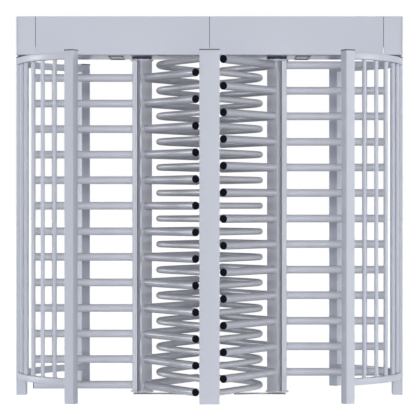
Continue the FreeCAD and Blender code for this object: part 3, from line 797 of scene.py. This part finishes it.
class TURNSTILE_OT_arms(bpy.types.Operator):
    """Model one welded arm and repeat it in the six wings"""
    bl_idname = "turnstile.arms"
    bl_label = "Wing arms"

    def execute(self, context):
        size = sizes()
        root = (size.upright_reach, 0, 0)
        tip = (size.rotor_reach - size.plug_length, 0, 0)
        arm = welded_bar("arm", size.arm_radius, root, tip, counts().tube_sides, both_ends=False)
        for side, sign in SIDES:
            for wing, turn in WINGS.items():
                arms = [about_rotor(arm, sign, turn, height) for height in arm_heights(sign)]
                # The front and rear wings take a darker, more metallic copy of the rotor paint: the darker
                # colour is painted shade, the metal sheen is real gloss
                coat = "rotor_powder_coat" if wing == "outer" else "arm_powder_coat"
                finished(f"{side}_{wing}_wing_tubes", arms, "rotor_paint", f"{side}_{wing}_wing_arms",
                         body=f"{side}_rotor", coat=coat)
        remove(arm)
        return {"FINISHED"}


class TURNSTILE_OT_plugs(bpy.types.Operator):
    """Model one rounded plug and repeat it in every arm's end"""
    bl_idname = "turnstile.plugs"
    bl_label = "Arm plugs"

    def execute(self, context):
        size = sizes()
        reach = size.rotor_reach
        start = (reach - size.plug_length, 0, 0)
        plug = add_cylinder("plug", size.arm_radius, start, (reach, 0, 0), counts().bar_sides)
        bevel_edges(plug, lambda a, b: min(a.x, b.x) > reach - NEAR, size.plug_dome)
        pick(plug, "FACE", lambda centre, normal: normal.x > FACING)
        bpy.ops.mesh.inset(thickness=PLUG_RIM, depth=-PLUG_DISH)
        done()
        for side, sign in SIDES:
            places = [(turn, height) for turn in WINGS.values() for height in arm_heights(sign)]
            plugs = [about_rotor(plug, sign, turn, height) for turn, height in places]
            finished(f"{side}_rotor_plugs", plugs, "plug_plastic", f"{side}_arm_plugs", body=f"{side}_rotor")
        remove(plug)
        return {"FINISHED"}


class TURNSTILE_OT_uprights(bpy.types.Operator):
    """Round the long edges of the rotor uprights"""
    bl_idname = "turnstile.uprights"
    bl_label = "Rotor uprights"

    def execute(self, context):
        size = sizes()
        low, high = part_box("left_rotor_uprights")
        inner = size.upright_reach - size.upright_depth
        half = size.upright_width / 2
        bar = add_box("upright", (inner, -half, low.z), (size.upright_reach, half, high.z))
        bevel_edges(bar, upright_edge, size.upright_round, segments=4)
        for side, sign in SIDES:
            bars = [about_rotor(bar, sign, turn) for turn in WINGS.values()]
            # The uprights take a darker, more metallic copy of the rotor paint: the darker colour is painted
            # shade, the metal sheen is real gloss
            finished(f"{side}_rounded_uprights", bars, "rotor_paint", f"{side}_rotor_uprights",
                     body=f"{side}_rotor", coat="column_powder_coat")
        remove(bar)
        return {"FINISHED"}


class TURNSTILE_OT_cage_bars(bpy.types.Operator):
    """Model one welded cage bar and repeat it in both cages"""
    bl_idname = "turnstile.cage_bars"
    bl_label = "Cage bars"

    def execute(self, context):
        size = sizes()
        low = (size.bar_circle, 0, size.bottom_band + size.band_height)
        high = (size.bar_circle, 0, size.top_band)
        bar = welded_bar("bar", size.bar_radius, low, high, counts().bar_sides)
        turns = [(k + FIRST_BAR) * size.bar_step for k in range(counts().bars)]
        for side, sign in SIDES:
            bars = [about_rotor(bar, sign, way * turn) for turn in turns for way in (-1, 1)]
            finished(f"{side}_welded_bars", bars, "frame_paint", f"{side}_cage_bars")
        remove(bar)
        return {"FINISHED"}


def rolled_band(base):
    """The right rear quarter of a band: a square section spun round the rotor, cut square on both posts."""
    size = sizes()
    clear_selection()
    bpy.ops.mesh.primitive_plane_add(size=1)
    plane = bpy.context.object
    plane.rotation_euler = (math.pi / 2, 0, 0)
    plane.scale = (size.band_depth, size.band_height, 1)
    plane.location = (size.band_outer - size.band_depth / 2, 0, base + size.band_height / 2)
    band = named("band")
    edit(band, "VERT")
    select_mesh()
    bpy.ops.mesh.bevel(offset=size.band_round, segments=3, affect="VERTICES")
    select_mesh()
    turn = math.radians(size.end_post_angle)
    bpy.ops.mesh.spin(steps=28, angle=-turn, center=(0, 0, 0), axis=(0, 0, 1))
    cut_along((0, size.side_post_face, 0), (0, 1, 0), clear_inner=True)
    across = Vector((math.sin(turn), -math.cos(turn), 0))
    centre = Vector((math.cos(turn), math.sin(turn), 0)) * size.end_post_circle
    cut_along(centre + across * size.end_post_half, across, clear_inner=True)
    select_mesh()
    bpy.ops.mesh.normals_make_consistent(inside=False)
    done()
    return band


class TURNSTILE_OT_cage_bands(bpy.types.Operator):
    """Spin the rolled bands of both cages"""
    bl_idname = "turnstile.cage_bands"
    bl_label = "Cage bands"

    def execute(self, context):
        size = sizes()
        quarters = [rolled_band(size.bottom_band), rolled_band(size.top_band)]
        for side, sign in SIDES:
            places = [rotor_axis(sign) @ Matrix.Diagonal((sign, way, 1, 1)) for way in (-1, 1)]
            bands = [copy_of(quarter, place) for quarter in quarters for place in places]
            finished(f"{side}_rolled_bands", bands, "frame_paint", f"{side}_cage_bands")
        remove(*quarters)
        return {"FINISHED"}


def bent_hoop():
    """One left hoop at height 0: a straight leg, a spun bend and the other leg."""
    size = sizes()
    reach = size.rotor_reach + size.hoop_gap + size.hoop_radius
    across = size.rotor_x + size.hoop_entry
    lean = math.atan2(size.post_face, across) - math.acos(reach / math.hypot(size.post_face, across))
    corner = size.hoop_entry + size.post_face * math.tan(lean)
    bend = (corner - size.hoop_tip) / (1 / math.cos(lean) - 1)
    tangent = Vector((bend * (1 - math.cos(lean)) - size.hoop_tip, -bend * math.sin(lean), 0))
    along = Vector((-math.sin(lean), math.cos(lean), 0))
    start = Vector((-size.hoop_entry, -size.post_face, 0)) - along * HOOP_BURIED
    turn = along.to_track_quat("Z", "Y").to_euler()
    clear_selection()
    bpy.ops.mesh.primitive_circle_add(vertices=counts().bar_sides, radius=size.hoop_radius,
                                      fill_type="NOTHING", location=start, rotation=turn)
    hoop = named("hoop")
    edit(hoop, "VERT")
    select_mesh()
    run = tangent - start
    bpy.ops.mesh.extrude_edges_move(TRANSFORM_OT_translate={"value": run})
    bpy.ops.mesh.spin(steps=24, angle=2 * lean, center=(bend - size.hoop_tip, 0, 0), axis=(0, 0, 1))
    bpy.ops.mesh.extrude_edges_move(TRANSFORM_OT_translate={"value": Vector((-run.x, run.y, 0))})
    for way in (-1, 1):
        cut_along((0, way * size.post_face, 0), (0, way, 0), clear_outer=True)
    select_mesh()
    bpy.ops.mesh.remove_doubles(threshold=NEAR)
    bpy.ops.mesh.normals_make_consistent(inside=False)
    for way in (-1, 1):
        end = Vector((-size.hoop_entry, way * size.post_face, 0))
        inward = Vector((0, -way, 0))
        along = inward - Vector((math.tan(lean), 0, 0))
        weld_bead(hoop, size.hoop_radius, size.hoop_weld, end, inward, along)
    done()
    return hoop


class TURNSTILE_OT_hoops(bpy.types.Operator):
    """Bend one comb hoop and repeat it on both sides, level with the other rotor's arms"""
    bl_idname = "turnstile.hoops"
    bl_label = "Comb hoops"

    def execute(self, context):
        hoop = bent_hoop()
        for side, sign in SIDES:
            flip = Matrix.Diagonal((-sign, 1, 1, 1))
            places = [Matrix.Translation((0, 0, height)) @ flip for height in arm_heights(-sign)]
            hoops = [copy_of(hoop, place) for place in places]
            finished(f"{side}_bent_hoops", hoops, "hoop_paint", f"{side}_comb_hoops")
        remove(hoop)
        return {"FINISHED"}


def standing_post(half_x, half_y, top, wall):
    """A post about the Z axis: a tube with rounded long edges, open at the foot."""
    post = add_box("post", (-half_x, -half_y, 0), (half_x, half_y, top))
    bevel_edges(post, upright_edge, sizes().post_round, segments=5)
    sink(post, facing_down, wall, top - POST_HEAD)
    return post


def flat_cap(half_x, half_y, proud, low, high, rim, lap=0.0):
    """The cap on a post about the Z axis. It stands proud of the post, and its lap goes down round it."""
    x, y = half_x + proud, half_y + proud
    cap = add_box("cap", (-x, -y, low - lap), (x, y, high))
    bevel_edges(cap, upright_edge, sizes().post_round, segments=4)
    bevel_edges(cap, level_edge(high), rim)
    if lap:
        sink(cap, facing_down, proud - LAP_PLAY, lap)
    return cap


def end_post_places(sign):
    """The places and turns of the two end posts of one cage."""
    size = sizes()
    angle = math.radians(size.end_post_angle)
    for way in (-1, 1):
        x = sign * (size.rotor_x + size.end_post_circle * math.cos(angle))
        y = way * size.end_post_circle * math.sin(angle)
        yield Matrix.Translation((x, y, 0)) @ Matrix.Rotation(sign * way * angle, 4, "Z")


def place_of(node):
    """The upright axis through the middle of a node."""
    low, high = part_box(node)
    return Matrix.Translation(((low.x + high.x) / 2, (low.y + high.y) / 2, 0))


class TURNSTILE_OT_posts(bpy.types.Operator):
    """Model the three kinds of post and the cap of each"""
    bl_idname = "turnstile.posts"
    bl_label = "Posts and caps"

    def execute(self, context):
        size = sizes()
        caps = []
        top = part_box("front_center_post")[1].z
        cap_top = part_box("post_caps")[1].z
        for nodes in (("front_center_post", "rear_center_post"), ("left_side_post", "right_side_post")):
            low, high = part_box(nodes[0])
            half_x, half_y = (high.x - low.x) / 2, (high.y - low.y) / 2
            post = standing_post(half_x, half_y, top, size.post_wall)
            cap = flat_cap(half_x, half_y, size.cap_lap_wall, top, cap_top, FINE_EDGE, size.cap_lap)
            for node in nodes:
                finished(f"{node}_tube", [copy_of(post, place_of(node))], "frame_paint", node)
                caps.append(copy_of(cap, place_of(node)))
            remove(post, cap)
        tube_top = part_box("left_end_posts")[1].z
        half = size.end_post_half
        post = standing_post(half, half, tube_top, size.end_post_wall)
        cap = flat_cap(half, half, END_CAP_PROUD, tube_top, cap_top, END_CAP_RIM)
        for side, sign in SIDES:
            places = list(end_post_places(sign))
            tubes = [copy_of(post, place) for place in places]
            finished(f"{side}_end_post_tubes", tubes, "frame_paint", f"{side}_end_posts")
            caps.extend(copy_of(cap, place) for place in places)
        remove(post, cap)
        finished("rounded_caps", caps, "post_cap_paint", "post_caps")
        return {"FINISHED"}


class TURNSTILE_OT_hood(bpy.types.Operator):
    """Model the header's sheet hood and part it at its seams"""
    bl_idname = "turnstile.hood"
    bl_label = "Header covers"

    def execute(self, context):
        size = sizes()
        low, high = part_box("end_covers")
        hood = add_box("hood", low, high)
        bevel_edges(hood, upright_edge, size.header_corner, segments=8)
        bevel_edges(hood, level_edge(high.z), size.header_rim, segments=4)
        sink(hood, facing_down, size.sheet, high.z - low.z - size.sheet)
        gap = size.seam_gap / 2
        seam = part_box("header_covers")[1].x + gap
        covers = {"long_hoods": ("header_covers", ((-seam + gap, -gap), (gap, seam - gap))),
                  "end_hoods": ("end_covers", ((None, -seam - gap), (seam + gap, None)))}
        for name, (node, spans) in covers.items():
            stretches = [self.stretch(hood, low, high, *span) for span in spans]
            finished(name, stretches, "header_paint", node, smooth=SHEET_SMOOTH)
        remove(hood)
        return {"FINISHED"}

    def stretch(self, hood, low, high, start, end):
        """The hood between two cuts. None stands for the hood's own end."""
        part = copy_of(hood, Matrix.Identity(4))
        cuts = [(place, way) for place, way in ((start, -1), (end, 1)) if place is not None]
        edit(part)
        for place, way in cuts:
            cut_along((place, 0, 0), (way, 0, 0), clear_outer=True)
        done()
        for place, way in cuts:
            bevel_edges(part, cut_rim(place, low, high), sizes().seam_round, segments=2)
        return part


class TURNSTILE_OT_tray(bpy.types.Operator):
    """Model the header's tray with its openings, and the framed hatches in it"""
    bl_idname = "turnstile.tray"
    bl_label = "Header tray and hatches"

    def execute(self, context):
        size = sizes()
        low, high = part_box("header_tray")
        tray = add_box("tray", low, high)
        bevel_edges(tray, upright_edge, size.header_corner, segments=8)
        sink(tray, facing_up, size.tray_lip, size.tray_plate - (high.z - low.z))
        bevel_edges(tray, level_edge(low.z), BROAD_EDGE, segments=2)
        under, over = low.z - OPENING_PAST, high.z + OPENING_PAST
        surrounds, lids = [], []
        frame_low, frame_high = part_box("hatch_frames")
        lid_low, lid_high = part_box("hatch_lids")
        for sign in (-1, 1):
            x = sign * size.rotor_x
            neck = add_cylinder("neck", size.housing_neck, (x, 0, under), (x, 0, over), counts().turned_sides)
            cut_from(tray, neck)
            x0, x1 = sorted((sign * (frame_high.x - HATCH_WIDTH), sign * frame_high.x))
            cut_from(tray, add_box("opening", (x0, frame_low.y, under), (x1, frame_high.y, over)))
            surrounds.append(self.surround((x0, frame_low.y, frame_low.z), (x1, frame_high.y, frame_high.z)))
            x0, x1 = x0 + size.hatch_frame, x1 - size.hatch_frame
            lid = add_box("lid", (x0, lid_low.y, lid_low.z), (x1, lid_high.y, lid_high.z))
            bevel_edges(lid, level_edge(lid_low.z), LID_EDGE, segments=2)
            lids.append(lid)
        finished("tray", [tray], "header_paint", "header_tray", smooth=SHEET_SMOOTH, coat="tray_powder_coat")
        # Painted shade: the frames take the dark cap moulding instead of the header's coat, so that a shadow
        # line shows round each hatch
        finished("hatch_surrounds", surrounds, "post_cap_paint", "hatch_frames", smooth=SHEET_SMOOTH)
        finished("hatch_doors", lids, "header_paint", "hatch_lids", smooth=SHEET_SMOOTH)
        return {"FINISHED"}

    def surround(self, low, high):
        """A rectangular frame round one hatch, with a seal below it and its lower edges rounded."""
        size = sizes()
        foot = low[2] - size.hatch_seal
        surround = add_box("surround", (low[0], low[1], foot), high)
        pick(surround, "FACE", lambda centre, normal: abs(normal.z) > FACING)
        bpy.ops.mesh.inset(thickness=size.hatch_frame)
        bpy.ops.mesh.bridge_edge_loops()
        done()
        bevel_edges(surround, level_edge(foot), FINE_EDGE, segments=2)
        return surround


class TURNSTILE_OT_hubs(bpy.types.Operator):
    """Turn the hubs, the shafts, the bearing housings and the floor pivots"""
    bl_idname = "turnstile.hubs"
    bl_label = "Hubs, shafts and pivots"

    def execute(self, context):
        size = sizes()
        for end, boss, bore in (("top", size.hub_boss, size.shaft_radius),
                                ("bottom", size.column_shaft, size.pivot_radius)):
            low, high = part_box(f"left_{end}_hub")
            plate_top = low.z + size.hub_thickness
            hub = turned("hub", size.hub_radius, low.z, plate_top, [(boss, high.z - plate_top)], bore,
                         counts().hub_sides)
            for level in (low.z, plate_top):
                bevel_edges(hub, rim_edge(size.hub_radius, level), TURNED_EDGE, segments=2)
            self.on_rotors(hub, f"{end}_hub_plate", f"{end}_hub")
        low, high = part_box("left_shaft")
        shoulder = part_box("left_top_hub")[0].z
        shaft = turned("shaft", size.column_shaft, low.z, shoulder, [(size.shaft_radius, high.z - shoulder)])
        bevel_edges(shaft, rim_edge(size.shaft_radius, high.z), BROAD_EDGE, segments=2)
        self.on_rotors(shaft, "column_shaft", "shaft")
        low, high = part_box("bearing_housings")
        flange_top = low.z + size.flange_thickness
        steps = [(size.housing_neck, high.z - flange_top), (size.bearing_seat, -size.bearing_width)]
        bore = size.shaft_radius + HOUSING_PLAY
        housing = turned("housing", size.housing_flange, low.z, flange_top, steps, bore)
        bevel_edges(housing, rim_edge(size.housing_flange, low.z), BROAD_EDGE)
        self.on_frame(housing, "turned_housings", "bearing_housings")
        low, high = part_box("floor_pivots")
        flange_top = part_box("left_bottom_hub")[0].z - PIVOT_GAP
        pin = (size.pivot_radius, high.z - flange_top)
        pivot = turned("pivot", size.pivot_flange, low.z, flange_top, [pin])
        bevel_edges(pivot, rim_edge(size.pivot_flange, flange_top), TURNED_EDGE, segments=2)
        bevel_edges(pivot, rim_edge(size.pivot_radius, high.z), TURNED_EDGE, segments=2)
        self.on_frame(pivot, "turned_pivots", "floor_pivots")
        return {"FINISHED"}

    def on_rotors(self, model, name, node):
        """Copies a piece to both rotors, one piece on each."""
        for side, sign in SIDES:
            twin = copy_of(model, rotor_axis(sign))
            finished(f"{side}_{name}", [twin], "rotor_paint", f"{side}_{node}", body=f"{side}_rotor")
        remove(model)

    def on_frame(self, model, name, node):
        """Copies a piece to both rotors' axes, as one piece on the frame."""
        twins = [copy_of(model, rotor_axis(sign)) for sign in (-1, 1)]
        finished(name, twins, "dark_iron", node)
        remove(model)


class TURNSTILE_OT_floor(bpy.types.Operator):
    """Model the floor plates and the flat headed screws that hold them"""
    bl_idname = "turnstile.floor_plates"
    bl_label = "Floor plates"

    def execute(self, context):
        size = sizes()
        low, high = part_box("floor_plates")
        screw = self.flat_screw(high.z)
        hole = add_cone("hole", ANCHOR_RADIUS + ANCHOR_PLAY, ANCHOR_HEAD + ANCHOR_PLAY, -ANCHOR_PAST,
                        high.z + ANCHOR_PAST)
        plates, screws = [], []
        for sign in (-1, 1):
            x0, x1 = sorted((sign * PLATE_INNER, sign * high.x))
            plate = add_box("plate", (x0, low.y, 0), (x1, high.y, high.z))
            bevel_edges(plate, upright_edge, PLATE_CORNER)
            bevel_edges(plate, level_edge(high.z), FINE_EDGE, segments=2)
            for x in (PLATE_INNER + ANCHOR_INSET, size.rotor_x - size.hub_radius - ANCHOR_INSET):
                for y in (low.y + ANCHOR_INSET, high.y - ANCHOR_INSET):
                    spot = Matrix.Translation((sign * x, y, 0))
                    screws.append(copy_of(screw, spot))
                    cut_from(plate, copy_of(hole, spot))
            plates.append(plate)
        remove(screw, hole)
        finished("drilled_plates", plates, "zinc_plate", "floor_plates", smooth=SHEET_SMOOTH)
        finished("plate_screws", screws, "bright_steel", "floor_screws", smooth=SHEET_SMOOTH)
        return {"FINISHED"}

    def flat_screw(self, top):
        """A countersunk screw with a round recess in its head."""
        recess, depth = ANCHOR_HEAD * 0.5, top * 0.6
        screw = add_cone("flat_screw", ANCHOR_RADIUS, ANCHOR_HEAD, 0, top)
        sink(screw, facing_up, ANCHOR_HEAD - recess, -depth)
        return screw


class TURNSTILE_OT_screws(bpy.types.Operator):
    """Model the socket headed screws and set them in the housings and the covers"""
    bl_idname = "turnstile.screws"
    bl_label = "Socket screws"

    def execute(self, context):
        size = sizes()
        low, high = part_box("flange_screws")
        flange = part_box("bearing_housings")[0].z
        screw = socket_screw(FLANGE_SCREW_HEAD, flange - low.z, FLANGE_SCREW_SHANK, high.z - flange)
        down = Matrix.Translation((0, 0, flange)) @ Matrix.Rotation(math.pi, 4, "X")
        turns = [math.radians(45 + 90 * k) for k in range(4)]
        ring = [size.flange_circle * Vector((math.cos(turn), math.sin(turn), 0)) for turn in turns]
        places = [rotor_axis(sign) @ Matrix.Translation(spot) @ down for sign in (-1, 1) for spot in ring]
        self.set_screws(screw, places, "housing_screws", "flange_screws")
        low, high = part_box("cover_screws")
        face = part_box("header_covers")[1].y
        screw = socket_screw(COVER_SCREW_HEAD, high.y - face, COVER_SCREW_SHANK, face - low.y)
        level = (low.z + high.z) / 2
        back = Matrix.Rotation(-math.pi / 2, 4, "X")
        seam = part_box("header_covers")[1].x + size.seam_gap / 2
        row = (seam / 2 - COVER_SCREW_PITCH, seam / 2, seam / 2 + COVER_SCREW_PITCH,
               (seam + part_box("end_covers")[1].x) / 2)
        places = [Matrix.Translation((sign * x, face, level)) @ back for sign in (-1, 1) for x in row]
        self.set_screws(screw, places, "hood_screws", "cover_screws")
        return {"FINISHED"}

    def set_screws(self, model, places, name, node):
        screws = [copy_of(model, place) for place in places]
        finished(name, screws, "bright_steel", node, smooth=SHEET_SMOOTH)
        remove(model)


class TURNSTILE_OT_tie(bpy.types.Operator):
    """Round the edges of the flat tie between the centre posts"""
    bl_idname = "turnstile.tie"
    bl_label = "Centre tie"

    def execute(self, context):
        low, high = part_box("center_top_tie")
        tie = add_box("rounded_tie", low, high)
        bevel_edges(tie, lambda a, b: (a - b).length > high.y - low.y - NEAR, TIE_EDGE)
        finished("rounded_tie", [tie], "frame_paint", "center_top_tie")
        return {"FINISHED"}


class TURNSTILE_OT_studio(bpy.types.Operator):
    """Set the floor, the lights and the camera"""
    bl_idname = "turnstile.studio"
    bl_label = "Studio"

    def execute(self, context):
        studio = context.scene.turnstile_studio
        context.scene.view_settings.view_transform = "Standard"
        self.floor()
        self.lights(studio)
        self.world(context.scene, studio.ambient)
        self.camera(context.scene, studio)
        return {"FINISHED"}

    def floor(self):
        """A wide matt floor that glows where the camera or a reflection sees it, so that it stays pale."""
        clear_selection()
        bpy.ops.mesh.primitive_plane_add(size=FLOOR_SIZE, location=(0, 0, 0))
        plane = named("studio_floor")
        tree, shader, place = new_material("studio_floor", gloss=0.1)
        speck = remap(tree, noise(tree, place, scale=6.0, detail=3.0), (0.3, 0.7), FLOOR_TONES)
        tone = add_node(tree, "CombineColor", {"Red": speck, "Green": speck, "Blue": speck})
        rays = tree.nodes.new("ShaderNodeLightPath").outputs
        seen = maths(tree, "MAXIMUM", rays["Is Camera Ray"], rays["Is Glossy Ray"])
        shader["Roughness"].default_value = 0.9
        shader["Emission Color"].default_value = (1, 1, 1, 1)
        feed(tree, shader["Base Color"], tone.outputs["Color"])
        feed(tree, shader["Emission Strength"], maths(tree, "MULTIPLY", seen, FLOOR_GLOW))
        plane.data.materials.append(bpy.data.materials["studio_floor"])

    def lights(self, studio):
        """Even light from the front, the sides and above. Four lamps light the header's covers alone."""
        no_covers = self.light_group("all_but_the_covers", "EXCLUDE")
        covers = self.light_group("covers_only", "INCLUDE")
        # Name, strength, softness and turns in degrees, and light group
        lamps = [(f"front_{k}", studio.front_power * share, FRONT_SOFTNESS, (88, 0, turn), None)
                 for k, (turn, share) in enumerate(FRONT_FAN)]
        lamps += [("right", studio.right_power, 8, (89, 0, 90), no_covers),
                  ("left", studio.left_power, 10, (88, 0, -113), no_covers),
                  ("top", studio.top_power, 60, (0, 0, 0), None),
                  ("covers_left", studio.cover_power, 2, (89, 0, -125), covers),
                  ("covers_right", studio.cover_power, 2, (89, 0, 125), covers),
                  ("covers_back", studio.back_power, 8, (88, 0, 180), covers),
                  ("covers_top", studio.cover_power, 2, (0, 0, 0), covers)]
        for name, power, softness, turns, group in lamps:
            clear_selection()
            bpy.ops.object.light_add(type="SUN", rotation=[math.radians(turn) for turn in turns])
            lamp = bpy.context.object
            lamp.name = f"studio_{name}"
            lamp.data.energy = power
            lamp.data.angle = math.radians(softness)
            lamp.light_linking.receiver_collection = group

    def light_group(self, name, state):
        """The header's covers, for a lamp that lights them alone or leaves them out."""
        group = bpy.data.collections.new(name)
        for cover in ("long_hoods", "end_hoods"):
            group.objects.link(bpy.data.objects[cover])
        for member in group.collection_objects:
            member.light_linking.link_state = state
        return group

    def world(self, scene, ambient):
        """White where the camera looks, a pale backdrop in reflections, and a little even light."""
        scene.world = scene.world or bpy.data.worlds.new("studio")
        scene.world.use_nodes = True
        tree = scene.world.node_tree
        background = tree.nodes["Background"].inputs
        background["Color"].default_value = (1, 1, 1, 1)
        rays = tree.nodes.new("ShaderNodeLightPath").outputs
        height = height_of(tree, tree.nodes.new("ShaderNodeTexCoord").outputs["Generated"])
        backdrop = remap(tree, height, BACKDROP_TOP, (1.0, CEILING_GLOW))
        seen = maths(tree, "MAXIMUM", rays["Is Camera Ray"], rays["Is Transmission Ray"])
        seen = maths(tree, "MAXIMUM", seen, maths(tree, "MULTIPLY", rays["Is Glossy Ray"], backdrop))
        bright = maths(tree, "MULTIPLY", seen, 1.0 - ambient)
        feed(tree, background["Strength"], maths(tree, "ADD", bright, ambient))

    def camera(self, scene, studio):
        clear_selection()
        place = (0, -studio.camera_distance, studio.camera_height)
        bpy.ops.object.camera_add(location=place, rotation=(math.pi / 2, 0, 0))
        camera = bpy.context.object
        camera.name = "studio_camera"
        camera.data.lens = studio.lens
        camera.data.sensor_width = 36
        camera.data.sensor_fit = "AUTO"
        camera.data.shift_y = studio.camera_shift
        camera.data.clip_end = 200
        scene.camera = camera


class TURNSTILE_PT_panel(bpy.types.Panel):
    """The turnstile's operators in the order they run"""
    bl_idname = "TURNSTILE_PT_panel"
    bl_label = "Turnstile"
    bl_space_type = "VIEW_3D"
    bl_region_type = "UI"
    bl_category = "Turnstile"

    def draw(self, context):
        for operator in OPERATORS:
            self.layout.operator(operator.bl_idname)
        for group in SETTINGS:
            settings = getattr(context.scene, group)
            box = self.layout.box()
            for name in settings.__annotations__:
                box.prop(settings, name)


OPERATORS = (
    TURNSTILE_OT_finishes, TURNSTILE_OT_arms, TURNSTILE_OT_plugs, TURNSTILE_OT_uprights,
    TURNSTILE_OT_cage_bars, TURNSTILE_OT_cage_bands, TURNSTILE_OT_hoops, TURNSTILE_OT_posts,
    TURNSTILE_OT_hood, TURNSTILE_OT_tray, TURNSTILE_OT_hubs, TURNSTILE_OT_floor, TURNSTILE_OT_screws,
    TURNSTILE_OT_tie, TURNSTILE_OT_studio,
)
SETTINGS = {
    "turnstile_sizes": TurnstileSizes,
    "turnstile_counts": TurnstileCounts,
    "turnstile_finish": TurnstileFinish,
    "turnstile_studio": TurnstileStudio,
}


def register():
    for name, settings in SETTINGS.items():
        bpy.utils.register_class(settings)
        setattr(bpy.types.Scene, name, bpy.props.PointerProperty(type=settings))
    for cls in (*OPERATORS, TURNSTILE_PT_panel):
        bpy.utils.register_class(cls)


def unregister():
    for cls in (TURNSTILE_PT_panel, *reversed(OPERATORS)):
        bpy.utils.unregister_class(cls)
    for name, settings in SETTINGS.items():
        delattr(bpy.types.Scene, name)
        bpy.utils.unregister_class(settings)


def main():
    register()
    for operator in OPERATORS:
        group, call = operator.bl_idname.split(".")
        getattr(getattr(bpy.ops, group), call)()
    clear_selection()


if __name__ == "__main__":
    main()
